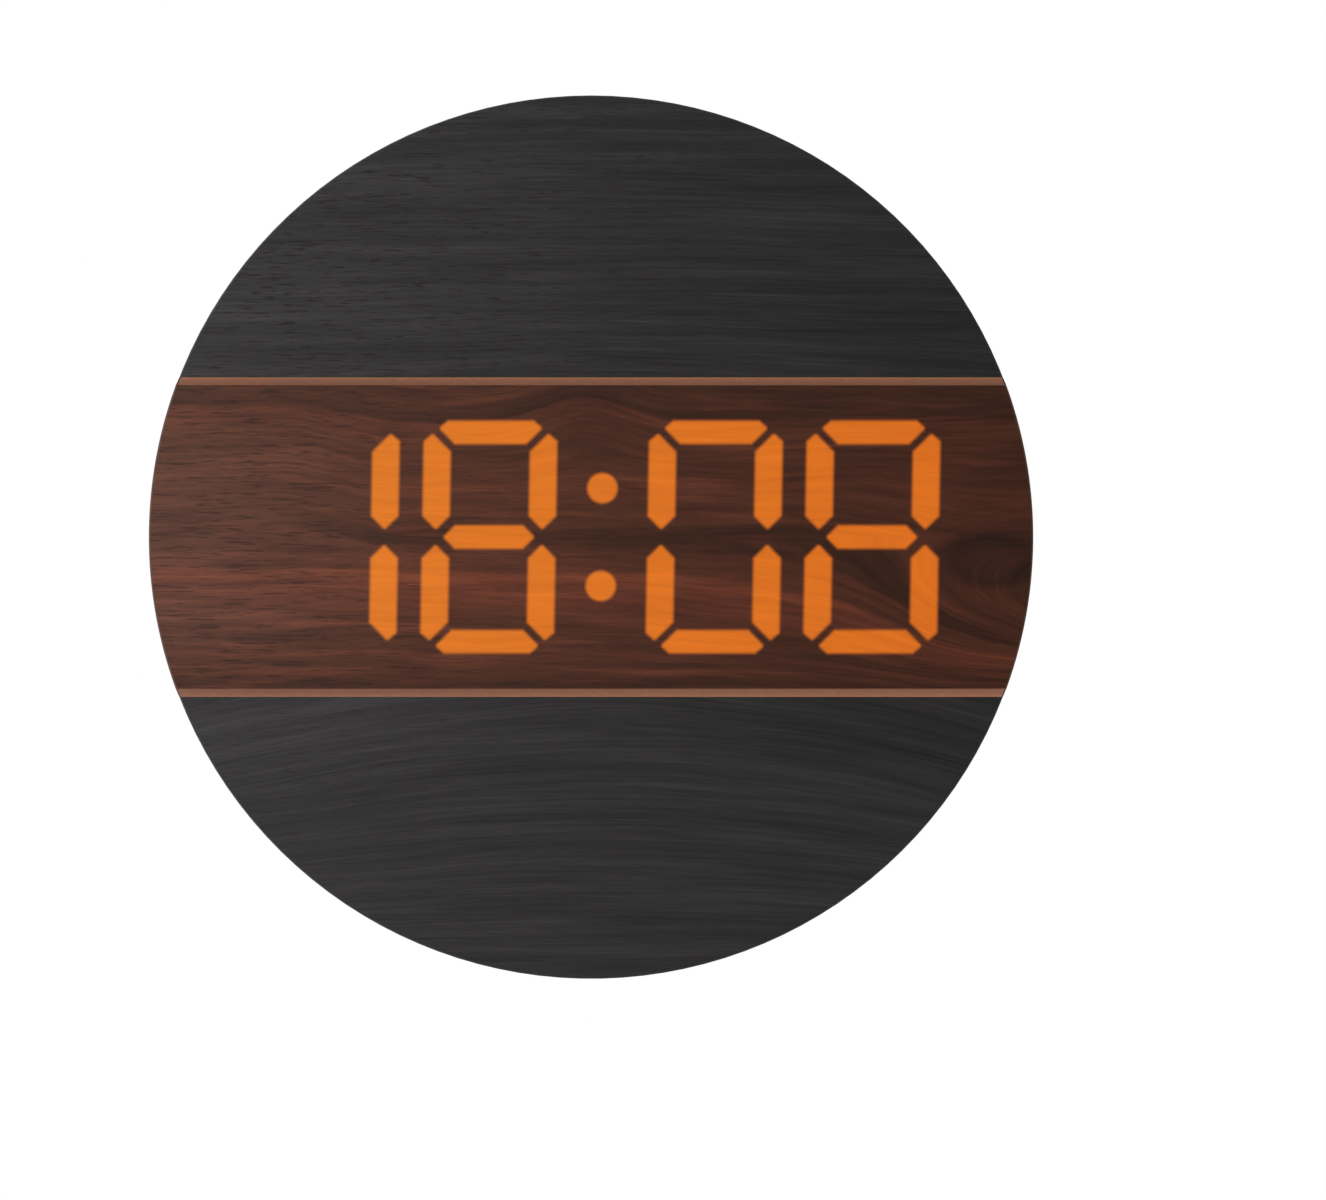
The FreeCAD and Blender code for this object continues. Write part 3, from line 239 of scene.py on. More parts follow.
def walnut_print(tree):
    """The walnut pattern, in millimetres, with painted shade on its right half: returns its colour, its grain and
    its tone.
    """
    where = add(tree, "TexCoord").outputs["Object"]
    millimetres = add(tree, "VectorMath", {0: where, "Scale": 1000.0}, operation="SCALE")
    place = add(tree, "SeparateXYZ", {"Vector": millimetres})
    across, height = place.outputs["X"], place.outputs["Z"]

    # Below the middle the lines drop to the right, 3 mm at the colon and 20 mm or more at the end.
    drop_size, drop_growth = 10.0, 55.0
    twist = add(tree, "Math", {0: across, 1: drop_growth}, operation="DIVIDE")
    growth = add(tree, "Math", {0: twist}, operation="EXPONENT")
    share = add(tree, "MapRange", {"Value": height, "From Min": 0.0, "From Max": -50.0})
    rest = add(tree, "Math", {0: 1.0, 1: share}, operation="SUBTRACT")
    swell = add(tree, "Math", {0: share, 1: rest}, operation="MULTIPLY")
    drop = add(tree, "Math", {0: growth, 1: swell}, operation="MULTIPLY")
    dropped = add(tree, "Math", {0: drop, 1: drop_size, 2: height}, operation="MULTIPLY_ADD")

    # Near the top they arch over the colon, as the crown of a flat-sawn board does.
    arch_rise, arch_reach = 8.0, 19
    aside = add(tree, "Math", {0: across, 1: 1 / arch_reach, 2: 0.1}, operation="MULTIPLY_ADD")
    aside_squared = add(tree, "Math", {0: aside, 1: aside}, operation="MULTIPLY")
    fall = add(tree, "Math", {0: aside_squared, 1: -1.0}, operation="MULTIPLY")
    crown = add(tree, "Math", {0: fall}, operation="EXPONENT")
    lift = add(tree, "MapRange", {"Value": height, "From Min": 12.0, "From Max": 40.0, "To Max": -arch_rise})
    core = add(tree, "Math", {0: crown, 1: lift}, operation="MULTIPLY")
    arched = add(tree, "Math", {0: core, 1: dropped}, operation="ADD")
    # The heart of the arch is a little darker.
    core_shade = add(tree, "Math", {0: core, 1: 0.028, 2: 1.0}, operation="MULTIPLY_ADD")

    # At the left end the dark middle line stands 6 mm higher.
    leftmost = add(tree, "MapRange", {"Value": across, "From Min": -66.0, "From Max": -104.0, "To Max": -6.0},
                   interpolation_type="SMOOTHSTEP")
    near_middle = add(tree, "MapRange", {"Value": height, "From Min": -5.0, "From Max": 3.0})
    stepped = add(tree, "Math", {0: leftmost, 1: near_middle, 2: arched}, operation="MULTIPLY_ADD")

    # At the right end it falls by 9 mm, towards the knot.
    rightmost = add(tree, "MapRange", {"Value": across, "From Min": 78.0, "From Max": 132.0, "To Max": 9.0},
                    interpolation_type="SMOOTHSTEP")
    below_top = add(tree, "MapRange", {"Value": height, "From Min": 24.0, "From Max": 4.0})
    fallen = add(tree, "Math", {0: rightmost, 1: below_top, 2: stepped}, operation="MULTIPLY_ADD")

    # Everywhere they wander by up to half of sway_size either way.
    sway_size = 5.5
    sway_at = add(tree, "Mapping", {"Vector": where, "Scale": pitch(62, 62, 24)})
    sway = add(tree, "TexNoise", {"Vector": sway_at, "Scale": 1.0, "Detail": 3.0, "Roughness": 0.55})
    swayed = add(tree, "Math", {0: sway, 1: sway_size, 2: fallen}, operation="MULTIPLY_ADD")
    level = add(tree, "Math", {0: swayed, 1: sway_size / 2}, operation="SUBTRACT")
    row = add(tree, "MapRange", {"Value": level, "From Min": -half_band, "From Max": half_band})
    stops = [((at + half_band) / (2 * half_band), colour) for at, colour in walnut_rows]
    rows = add(tree, "ValToRGB", {"Fac": row}, stops)

    # Long darker and redder lines, 2 mm apart, and fine ones of 0.5 mm between them.
    along_grain = add(tree, "CombineXYZ", {"X": across, "Z": level})
    lines_at = add(tree, "Mapping", {"Vector": along_grain, "Scale": (1 / 42, 1.0, 1 / 2.1)})
    lines = add(tree, "TexNoise", {"Vector": lines_at, "Scale": 1.0, "Detail": 4.0, "Roughness": 0.62})
    fine_at = add(tree, "Mapping", {"Vector": along_grain, "Scale": (1 / 15, 1.0, 1 / 0.5)})
    fine = add(tree, "TexNoise", {"Vector": fine_at, "Scale": 1.0, "Detail": 3.0, "Roughness": 0.6})
    line_tone = add(tree, "MapRange", {"Value": lines, "From Min": 0.28, "From Max": 0.72, "To Min": 0.6,
                                       "To Max": 1.44})
    fine_tone = add(tree, "MapRange", {"Value": fine, "From Min": 0.3, "From Max": 0.7, "To Min": 0.9,
                                       "To Max": 1.1})
    grain = add(tree, "Math", {0: line_tone, 1: fine_tone}, operation="MULTIPLY")
    red_at = add(tree, "Mapping", {"Vector": along_grain, "Scale": (1 / 70, 1.0, 1 / 4.5), "Location": (5.0, 0, 2)})
    red = add(tree, "TexNoise", {"Vector": red_at, "Scale": 1.0, "Detail": 3.0, "Roughness": 0.6})
    blush = add(tree, "MapRange", {"Value": red, "From Min": 0.52, "From Max": 0.72, "To Max": 0.5})
    blushed = add(tree, "MixRGB", {"Fac": blush, "Color1": rows, "Color2": linear("#683423")})

    # The left third is a plainer, slightly paler part of the print, except along the band's edges.
    leftness = add(tree, "MapRange", {"Value": across, "From Min": -45.0, "From Max": -120.0, "To Max": 0.45},
                   interpolation_type="SMOOTHSTEP")
    from_middle = add(tree, "Math", {0: height}, operation="ABSOLUTE")
    inner = add(tree, "MapRange", {"Value": from_middle, "From Min": 46.0, "From Max": 26.0})
    plain = add(tree, "Math", {0: leftness, 1: inner}, operation="MULTIPLY")
    evened = add(tree, "MixRGB", {"Fac": plain, "Color1": blushed, "Color2": linear("#4f3126")})

    # Pores: dark dashes 4 to 8 mm long, mostly in the plain part.
    pores_at = add(tree, "Mapping", {"Vector": where, "Scale": pitch(7.5, 7.5, 0.6)})
    pores = add(tree, "TexNoise", {"Vector": pores_at, "Scale": 1.0, "Detail": 2.0, "Roughness": 0.5})
    pore = add(tree, "MapRange", {"Value": pores, "From Min": 0.55, "From Max": 0.66})
    leftward = add(tree, "MapRange", {"Value": across, "From Min": 20.0, "From Max": -110.0, "To Min": -0.1,
                                      "To Max": -0.5})
    pore_tone = add(tree, "Math", {0: pore, 1: leftward, 2: 1.0}, operation="MULTIPLY_ADD")

    # A dark swirl round a small knot near the right end, 19 mm to each side and 11 mm up and down.
    knot_x, knot_z, knot_wide, knot_high = 133, -8, 19, 11
    knot_at = add(tree, "Mapping", {"Vector": millimetres, "Scale": (1 / knot_wide, 0.0, 1 / knot_high),
                                    "Location": (-knot_x / knot_wide, 0, -knot_z / knot_high)})
    warp = add(tree, "MixRGB", {"Fac": 0.35, "Color1": knot_at, "Color2": sway.outputs["Color"]},
               blend_type="LINEAR_LIGHT")
    far = add(tree, "VectorMath", {0: warp}, operation="LENGTH")
    ring = add(tree, "ValToRGB", {"Fac": far.outputs["Value"]},
               [(0.0, "#d8d8d8"), (0.4, "#cfcfcf"), (0.65, "#b8b8b8"), (1.0, "#ffffff")])
    knotted = add(tree, "MixRGB", {"Fac": 1.0, "Color1": evened, "Color2": ring}, blend_type="MULTIPLY")

    pored = add(tree, "Math", {0: grain, 1: pore_tone}, operation="MULTIPLY")
    cored = add(tree, "Math", {0: pored, 1: core_shade}, operation="MULTIPLY")
    # Painted shade: the right half of the print is made a little darker, which deepens the window light's fall-off.
    painted_right_shade = add(tree, "MapRange", {"Value": across, "From Min": -10.0, "From Max": 50.0, "To Min": 1.0,
                                         "To Max": 0.86})
    tone = add(tree, "Math", {0: cored, 1: painted_right_shade}, operation="MULTIPLY")
    colour = add(tree, "VectorMath", {0: knotted, "Scale": tone}, operation="SCALE")
    return colour, grain, tone


walnut_film, tree, shader = finish("pvc_film_printed_walnut", Roughness=0.5, IOR=1.46, Specular_IOR_Level=0.22)
colour, grain, relief = walnut_print(tree)
emboss = add(tree, "Bump", {"Height": relief, "Strength": 0.3, "Distance": 0.00006})
feed(tree, shader, Base_Color=colour, Normal=emboss)
dress(walnut_film, "walnut_film")


# ---- Walnut edging -------------------------------------------------------------------------
# The band's two round ends carry their own PVC strip in the same walnut, its grain running up the
# end. It is scraped flush, so from the front it is only a thin dark line.

walnut_strip, tree, shader = finish("pvc_edge_band_printed_walnut", Roughness=0.45, IOR=1.5)
where = add(tree, "TexCoord").outputs["Object"]
grain_at = add(tree, "Mapping", {"Vector": where, "Scale": pitch(0.7, 0.7, 26)})
grain = add(tree, "TexNoise", {"Vector": grain_at, "Scale": 1.0, "Detail": 4.0, "Roughness": 0.6})
tone = add(tree, "ValToRGB", {"Fac": grain}, [(0.3, "#2f1f1a"), (0.55, "#4a3028"), (0.75, "#5d3c30")])
relief = add(tree, "Bump", {"Height": grain, "Strength": 0.2, "Distance": 0.00005})
feed(tree, shader, Base_Color=tone, Normal=relief)
dress(walnut_strip, "walnut_edging_left", "walnut_edging_right")


# ---- Light guides --------------------------------------------------------------------------
# One milky polycarbonate moulding for each digit and one for the colon. A pad fills each window
# in the band, flush behind the film, and spreads the light evenly over the segment.

milky, tree, shader = finish("polycarbonate_moulded_milky", Roughness=0.38, IOR=1.58, Subsurface_Weight=0.4,
                             Subsurface_Scale=0.002)
where = add(tree, "TexCoord").outputs["Object"]
flow_at = add(tree, "Mapping", {"Vector": where, "Scale": pitch(9, 9, 14)})
flow = add(tree, "TexNoise", {"Vector": flow_at, "Scale": 1.0, "Detail": 2.0})
tone = add(tree, "ValToRGB", {"Fac": flow}, [(0.3, "#dcd9d0"), (0.7, "#e9e7e0")])
feed(tree, shader, Base_Color=tone)
digits = ("hour_tens", "hour_units", "minute_tens", "minute_units")
guides = ["light_guide_" + name for name in digits + ("colon",)]
dress(milky, *guides)


# ---- Lit segments --------------------------------------------------------------------------
# Where a segment is lit, amber light comes through the walnut film and drowns most of its print.
# Each shape is its pad's outline, and the light falls off over half a millimetre at the edge.

corner_radius = 0.0008
# Light at each distance outside the pad's outline.
halo = [(0.0009, 0.0), (0.0006, 0.06), (0.0003, 0.22), (0.0, 0.5), (-0.0003, 0.8), (-0.0006, 0.94), (-0.0009, 1.0)]
proud = 0.00002     # front of a lit shape before the film's face
sunk = 0.00003      # its back behind that face
lit_segments = {"hour_tens": "bc", "hour_units": "abcdefg", "minute_tens": "abcdef", "minute_units": "abcdefg",
                "colon": "ad"}
film_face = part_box("walnut_film")[0].y

amber, tree, shader = finish("amber_light_through_walnut_film", Roughness=0.5, IOR=1.46, Specular_IOR_Level=0.22,
                             Emission_Strength=1.0)
colour, grain, relief = walnut_print(tree)
glow = add(tree, "Attribute", attribute_name="glow").outputs["Fac"]
veil = add(tree, "MapRange", {"Value": grain, "From Min": 0.6, "From Max": 1.4, "To Min": 0.9, "To Max": 1.1})
place = add(tree, "SeparateXYZ", {"Vector": add(tree, "TexCoord").outputs["Object"]})
side = add(tree, "MapRange", {"Value": place.outputs["X"], "From Min": -0.09, "From Max": 0.11})
light = add(tree, "MixRGB", {"Fac": side, "Color1": linear("#dc7516"), "Color2": linear("#d76b15")})
strength = add(tree, "Math", {0: glow, 1: veil}, operation="MULTIPLY")
shine = add(tree, "VectorMath", {0: light, "Scale": strength}, operation="SCALE")
dark = add(tree, "MapRange", {"Value": glow, "To Min": 1.0, "To Max": 0.12})
behind = add(tree, "VectorMath", {0: colour, "Scale": dark}, operation="SCALE")
emboss = add(tree, "Bump", {"Height": relief, "Strength": 0.3, "Distance": 0.00006})
feed(tree, shader, Base_Color=behind, Emission_Color=shine, Normal=emboss)


def pad_outlines(guide):
    """The outline of each pad's front face on a light guide, as (x, z) points in order."""
    work = bmesh.new()
    work.from_mesh(nodes[guide].data)
    bmesh.ops.remove_doubles(work, verts=work.verts, dist=1e-6)
    front = min(v.co.y for v in work.verts)
    others = [f for f in work.faces if any(v.co.y > front + 1e-6 for v in f.verts)]
    bmesh.ops.delete(work, geom=others, context="FACES")
    bmesh.ops.dissolve_limit(work, angle_limit=0.01, verts=work.verts, edges=work.edges)
    found = [[(v.co.x, v.co.z) for v in f.verts] for f in work.faces]
    work.free()
    return found


def turned_left(points):
    """The points in counter-clockwise order."""
    area = sum(a[0] * b[1] - b[0] * a[1] for a, b in zip(points, points[1:] + points[:1]))
    return points if area > 0 else points[::-1]


def ring_at(points, out):
    """A convex outline moved outwards by out, its corners rounded."""
    count = len(points)
    segment_corners = 8
    steps = 4 if count <= segment_corners else 1      # a round dot's short sides need no rounding
    sides = []
    for i in range(count):
        x0, z0 = points[i - 1]
        x1, z1 = points[i]
        length = math.hypot(x1 - x0, z1 - z0)
        normal = ((z1 - z0) / length, (x0 - x1) / length)
        sides.append((normal, normal[0] * x0 + normal[1] * z0 - corner_radius))
    made = []
    for i in range(count):
        (a1, b1), c1 = sides[i]
        (a2, b2), c2 = sides[(i + 1) % count]
        turn = a1 * b2 - a2 * b1
        x, z = (c1 * b2 - c2 * b1) / turn, (a1 * c2 - a2 * c1) / turn
        start = math.atan2(b1, a1)
        sweep = (math.atan2(b2, a2) - start) % (2 * math.pi)
        for k in range(steps + 1):
            angle = start + sweep * k / steps
            reach = corner_radius + out
            made.append((x + reach * math.cos(angle), z + reach * math.sin(angle)))
    return made


def segment_letter(dx, dz):
    """Which segment of a digit stands at this place from its middle, as the usual letters a to g."""
    middle_column, middle_row = 0.006, 0.008
    if abs(dx) < middle_column:
        return "g" if abs(dz) < middle_row else "a" if dz > 0 else "d"
    if dx > 0:
        return "b" if dz > 0 else "c"
    return "f" if dz > 0 else "e"


def lit_piece(name, letters):
    """One thin closed piece that holds every lit segment of a digit, or the colon's two dots."""
    low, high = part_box("light_guide_" + name)
    middle = ((low.x + high.x) / 2, (low.z + high.z) / 2)
    work = bmesh.new()
    glow_layer = work.verts.layers.float.new("glow")
    for outline in pad_outlines("light_guide_" + name):
        outline = turned_left(outline)
        x = sum(p[0] for p in outline) / len(outline)
        z = sum(p[1] for p in outline) / len(outline)
        if segment_letter(x - middle[0], z - middle[1]) not in letters:
            continue
        rings = []
        for out, strength in halo:
            ring = [work.verts.new((px, film_face - proud, pz)) for px, pz in ring_at(outline, out)]
            for v in ring:
                v[glow_layer] = strength
            rings.append(ring)
        back = [work.verts.new((v.co.x, film_face + sunk, v.co.z)) for v in rings[0]]
        for outer, inner in zip([back] + rings, rings):
            for i in range(len(outer)):
                work.faces.new((outer[i - 1], outer[i], inner[i], inner[i - 1]))
        work.faces.new(rings[-1])
        work.faces.new(back[::-1])
    bmesh.ops.recalc_face_normals(work, faces=work.faces)
    mesh = bpy.data.meshes.new("lit_" + name)
    work.to_mesh(mesh)
    work.free()
    mesh.materials.append(amber)
    piece = bpy.data.objects.new("lit_" + name, mesh)
    bpy.context.scene.collection.objects.link(piece)
    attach(piece, "clock")


for name, letters in lit_segments.items():
    lit_piece(name, letters)


# ---- Light frame ---------------------------------------------------------------------------
# White polystyrene cell block behind the guides. Its cells keep each segment's light to itself, so
# the white is opaque, with a satin mould finish.

opaque_white, tree, shader = finish("polystyrene_moulded_opaque_white", Roughness=0.45, IOR=1.59)
where = add(tree, "TexCoord").outputs["Object"]
grit_at = add(tree, "Mapping", {"Vector": where, "Scale": pitch(0.6, 0.6, 0.6)})
grit = add(tree, "TexNoise", {"Vector": grit_at, "Scale": 1.0, "Detail": 3.0})
tone = add(tree, "ValToRGB", {"Fac": grit}, [(0.3, "#dcdcd8"), (0.7, "#e8e8e4")])
relief = add(tree, "Bump", {"Height": grit, "Strength": 0.15, "Distance": 0.00004})
feed(tree, shader, Base_Color=tone, Normal=relief)
dress(opaque_white, "light_frame")


# ---- Circuit board -------------------------------------------------------------------------
# 1.6 mm glass-epoxy board under green solder mask. The copper below shows as slightly lighter,
# raised tracks and pours; the tracks are drawn at twice their real pitch.

solder_mask, tree, shader = finish("fr4_green_solder_mask", Roughness=0.32, IOR=1.55)
where = add(tree, "TexCoord").outputs["Object"]
turned = add(tree, "Mapping", {"Vector": where, "Rotation": (math.pi / 2, 0, 0), "Scale": (1000.0,) * 3})
tracks = add(tree, "TexBrick", {"Vector": turned, "Scale": 1.0, "Mortar Size": 0.22, "Mortar Smooth": 0.2,
                                "Brick Width": 14.0, "Row Height": 2.4, "Color1": linear("#1f5a38"),
                                "Color2": linear("#256643"), "Mortar": linear("#17482c")}, offset=0.37)
pour_at = add(tree, "Mapping", {"Vector": where, "Scale": pitch(18, 18, 18)})
pours = add(tree, "TexVoronoi", {"Vector": pour_at, "Scale": 1.0, "Randomness": 0.9}, distance="CHEBYCHEV")
pour = add(tree, "MapRange", {"Value": pours.outputs["Distance"], "From Min": 0.28, "From Max": 0.31})
masked = add(tree, "MixRGB", {"Fac": pour, "Color1": linear("#1d5434"), "Color2": tracks.outputs["Color"]})
copper = add(tree, "Math", {0: tracks.outputs["Fac"], 1: pour}, operation="MULTIPLY")
relief = add(tree, "Bump", {"Height": copper, "Strength": 0.4, "Distance": 0.00004}, invert=True)
feed(tree, shader, Base_Color=masked, Normal=relief)
dress(solder_mask, "circuit_board")


# ---- LEDs ----------------------------------------------------------------------------------
# Amber LEDs in white surface-mount packages, each with a drop of clear resin in its cup, soldered
# to the front of the board.

# Moulded white polyphthalamide, satin, with the resin's pale amber only on the floor of each cup.
led_white, tree, shader = finish("ppa_moulded_white_with_amber_resin", Roughness=0.35, IOR=1.52)
coordinates = add(tree, "TexCoord")
grit_at = add(tree, "Mapping", {"Vector": coordinates.outputs["Object"], "Scale": pitch(0.4, 0.4, 0.4)})
grit = add(tree, "TexNoise", {"Vector": grit_at, "Scale": 1.0, "Detail": 2.0})
package = add(tree, "ValToRGB", {"Fac": grit}, [(0.3, "#dedbd0"), (0.7, "#ebe8df")])
place = add(tree, "SeparateXYZ", {"Vector": coordinates.outputs["Object"]})
facing = add(tree, "SeparateXYZ", {"Vector": coordinates.outputs["Normal"]})
led_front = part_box("leds_colon")[0].y
cup_rim = 0.0001     # the resin shows only below the package's front
sunk_in = add(tree, "MapRange", {"Value": place.outputs["Y"], "From Min": led_front + cup_rim,
                                 "From Max": led_front + 2 * cup_rim})
forward = add(tree, "MapRange", {"Value": facing.outputs["Y"], "From Min": -0.8, "From Max": -0.95})
resin = add(tree, "Math", {0: sunk_in, 1: forward}, operation="MULTIPLY")
tone = add(tree, "MixRGB", {"Fac": resin, "Color1": package, "Color2": linear("#d8a653")})
feed(tree, shader, Base_Color=tone)
leds = ["leds_" + name for name in digits + ("colon",)]
dress(led_white, *leds)


# ---- Board screws --------------------------------------------------------------------------
# Zinc-plated pan-head screws that hold the board and the light frame to the band. The plating is
# bright, with a faint blue and yellow bloom.

def plated(name, dark, light, roughness, grain_mm):
    """A plated metal: two tones in a fine grain that also breaks up the shine."""
    material, tree, shader = finish(name, Metallic=1.0)
    where = add(tree, "TexCoord").outputs["Object"]
    grain_at = add(tree, "Mapping", {"Vector": where, "Scale": pitch(grain_mm, grain_mm, grain_mm)})
    grain = add(tree, "TexNoise", {"Vector": grain_at, "Scale": 1.0, "Detail": 4.0, "Roughness": 0.6})
    tone = add(tree, "ValToRGB", {"Fac": grain}, [(0.3, dark), (0.7, light)])
    cloud_at = add(tree, "Mapping", {"Vector": where, "Scale": pitch(6, 6, 6)})
    clouds = add(tree, "TexNoise", {"Vector": cloud_at, "Scale": 1.0, "Detail": 2.0})
    shine = add(tree, "MapRange", {"Value": clouds, "From Min": 0.3, "From Max": 0.7, "To Min": roughness * 0.8,
                                   "To Max": roughness * 1.25})
    relief = add(tree, "Bump", {"Height": grain, "Strength": 0.12, "Distance": 0.00003})
    feed(tree, shader, Base_Color=tone, Roughness=shine, Normal=relief)
    return material


# Bright zinc: silvery with a faint cold bloom, soft reflections.
dress(plated("steel_zinc_plated_bright", "#a4a8ae", "#c9cbc8", 0.3, 0.5), "board_screws")


# ---- Chips and small parts -----------------------------------------------------------------
# Processor, two LED drivers, regulator and resistors in black moulded epoxy, with tinned legs,
# on the back of the board.

def moulded(name, dark, light, grit_mm, roughness, depth_mm=0.03, ior=1.53):
    """A moulded plastic: an even colour with a fine grit pressed in by the mould."""
    material, tree, shader = finish(name, Roughness=roughness, IOR=ior)
    where = add(tree, "TexCoord").outputs["Object"]
    grit_at = add(tree, "Mapping", {"Vector": where, "Scale": pitch(grit_mm, grit_mm, grit_mm)})
    grit = add(tree, "TexNoise", {"Vector": grit_at, "Scale": 1.0, "Detail": 3.0, "Roughness": 0.6})
    tone = add(tree, "ValToRGB", {"Fac": grit}, [(0.3, dark), (0.7, light)])
    relief = add(tree, "Bump", {"Height": grit, "Strength": 0.3, "Distance": depth_mm / 1000})
    feed(tree, shader, Base_Color=tone, Normal=relief)
    return material


# Epoxy: charcoal and dead matt, with the fine sandy skin of a transfer mould.
epoxy = moulded("epoxy_transfer_moulded_black", "#1c1c1e", "#28282a", 0.25, 0.55)
dress(epoxy, "processor_chip", "driver_chips", "power_regulator")

# Tinned copper: soft grey-white metal, slightly uneven where the solder has run.
dress(plated("copper_tinned_satin", "#b2b1ab", "#cfcdc6", 0.34, 0.4), "processor_legs", "driver_legs")

# Alumina chip resistors: black glass over a white ceramic body, too small to show more than that.
dress(moulded("alumina_glazed_black", "#202024", "#34343a", 0.3, 0.25), "segment_resistors")


# ---- Crystal and capacitor -----------------------------------------------------------------
# The clock crystal's drawn can, and the storage capacitor that bridges a short power cut: an
# aluminium can on a square black base.

# Drawn can: bright nickel with fine draw lines.
dress(plated("steel_drawn_nickel_plated", "#b3aea4", "#cdc9bf", 0.22, 0.35), "clock_crystal")

# Impact-extruded aluminium: satin, with fine draw lines that run along the can. The base is black.
base_height = 0.0009
seam = 0.00002      # half the step between the base's look and the can's
capacitor, tree, shader = finish("aluminium_extruded_on_black_pps_base")
where = add(tree, "TexCoord").outputs["Object"]
place = add(tree, "SeparateXYZ", {"Vector": where})
base_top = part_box("storage_capacitor")[0].y + base_height
is_can = add(tree, "MapRange", {"Value": place.outputs["Y"], "From Min": base_top - seam,
                                "From Max": base_top + seam})
draw_at = add(tree, "Mapping", {"Vector": where, "Scale": pitch(0.25, 8, 0.25)})
draw = add(tree, "TexNoise", {"Vector": draw_at, "Scale": 1.0, "Detail": 3.0})
can_tone = add(tree, "ValToRGB", {"Fac": draw}, [(0.3, "#b4b6b7"), (0.7, "#cfd1d1")])
tone = add(tree, "MixRGB", {"Fac": is_can, "Color1": linear("#1d1d1f"), "Color2": can_tone})
shine = add(tree, "MapRange", {"Value": draw, "From Min": 0.3, "From Max": 0.7, "To Min": 0.3, "To Max": 0.42})
feed(tree, shader, Base_Color=tone, Metallic=is_can, Roughness=shine)
dress(capacitor, "storage_capacitor")


# ---- Buzzer and thermistor -----------------------------------------------------------------
# The alarm's piezo buzzer, a round black moulding with one sound hole, and the dipped bead that
# measures the room's temperature behind the vent.

dress(moulded("abs_moulded_gloss_black", "#17171a", "#202024", 1.2, 0.22), "buzzer")

# Dipped epoxy: black, smooth and glossy, a little uneven where it ran.
dress(moulded("epoxy_dipped_gloss_black", "#18181b", "#26262a", 1.5, 0.12, depth_mm=0.02), "thermistor")


# ---- Battery holder, contacts and cell -----------------------------------------------------
# A black nylon holder, two sprung nickel contacts and the coin cell that keeps the time. The
# cell's steel can is turned bright, its lid with round brushing.

dress(moulded("nylon_moulded_black", "#1a1a1b", "#262627", 0.5, 0.5), "battery_holder")

spring_nickel = plated("spring_steel_nickel_plated", "#aba59a", "#c8c2b5", 0.24, 0.4)
dress(spring_nickel, "negative_contact", "positive_clip")

turned_steel, tree, shader = finish("stainless_steel_round_brushed", Metallic=1.0, Anisotropic=0.4)
cell_low, cell_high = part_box("coin_cell")
middle = (cell_low + cell_high) / 2
centred = add(tree, "Mapping", {"Vector": add(tree, "TexCoord").outputs["Object"], "Location": -middle * 1000,
                                "Scale": (1000.0,) * 3})
flat_place = add(tree, "SeparateXYZ", {"Vector": centred})
disc_place = add(tree, "CombineXYZ", {"X": flat_place.outputs["X"], "Y": flat_place.outputs["Z"]})
radius = add(tree, "VectorMath", {0: disc_place}, operation="LENGTH")
# The brushing is drawn at 0.25 mm, about five times coarser than it is.
brushing = 0.25
ring_place = add(tree, "Math", {0: radius.outputs["Value"], 1: 1 / brushing}, operation="MULTIPLY")
rings = add(tree, "TexNoise", {"W": ring_place, "Scale": 1.0, "Detail": 2.0}, noise_dimensions="1D")
tone = add(tree, "ValToRGB", {"Fac": rings}, [(0.3, "#a9a9a6"), (0.7, "#cbcac6")])
shine = add(tree, "MapRange", {"Value": rings, "From Min": 0.3, "From Max": 0.7, "To Min": 0.2, "To Max": 0.36})
relief = add(tree, "Bump", {"Height": rings, "Strength": 0.2, "Distance": 0.00003})
feed(tree, shader, Base_Color=tone, Roughness=shine, Normal=relief)
dress(turned_steel, "coin_cell")


# ---- Set, up and down buttons --------------------------------------------------------------
# Three push buttons at the back: a dark grey cap clicked onto a switch's plunger. Each switch has
# a black base and a thin tinned steel cover.

keys = ("set", "up", "down")
dress(moulded("abs_moulded_dark_grey", "#3b3c3e", "#47484a", 0.35, 0.42), *[k + "_button" for k in keys])

switch_black = moulded("polyamide_moulded_black", "#19191a", "#242425", 0.4, 0.45)
dress(switch_black, *[k + "_switch_base" for k in keys], *[k + "_switch_plunger" for k in keys])

switch_steel = plated("steel_tinned_satin", "#aaa9a5", "#c4c3be", 0.32, 0.3)
dress(switch_steel, *[k + "_switch_cover" for k in keys])


# ---- Alarm switch --------------------------------------------------------------------------
# The slide switch that turns the alarm on and off: a folded tinned frame, a black slider and the
# light grey knob that comes through the rear cover.

dress(switch_steel, "alarm_switch_body")
dress(switch_black, "alarm_slider")
dress(moulded("abs_moulded_light_grey", "#8c8d8e", "#9c9d9e", 0.35, 0.4), "alarm_knob")


# ---- Power socket --------------------------------------------------------------------------
# The DC inlet: a black nylon body that opens downwards into the plug's well, and its turned
# centre pin, nickel-plated brass.

dress(moulded("pbt_moulded_black", "#151516", "#202022", 0.6, 0.38), "power_socket")
dress(plated("brass_nickel_plated", "#b8b2a4", "#d2ccbd", 0.2, 0.3), "socket_pin")


# ---- Rear cover and battery door -----------------------------------------------------------
# Black ABS mouldings with a spark-eroded texture: an even matt grit of 0.6 mm that hides
# scratches. The door is from the same plastic and swings on its own pins.

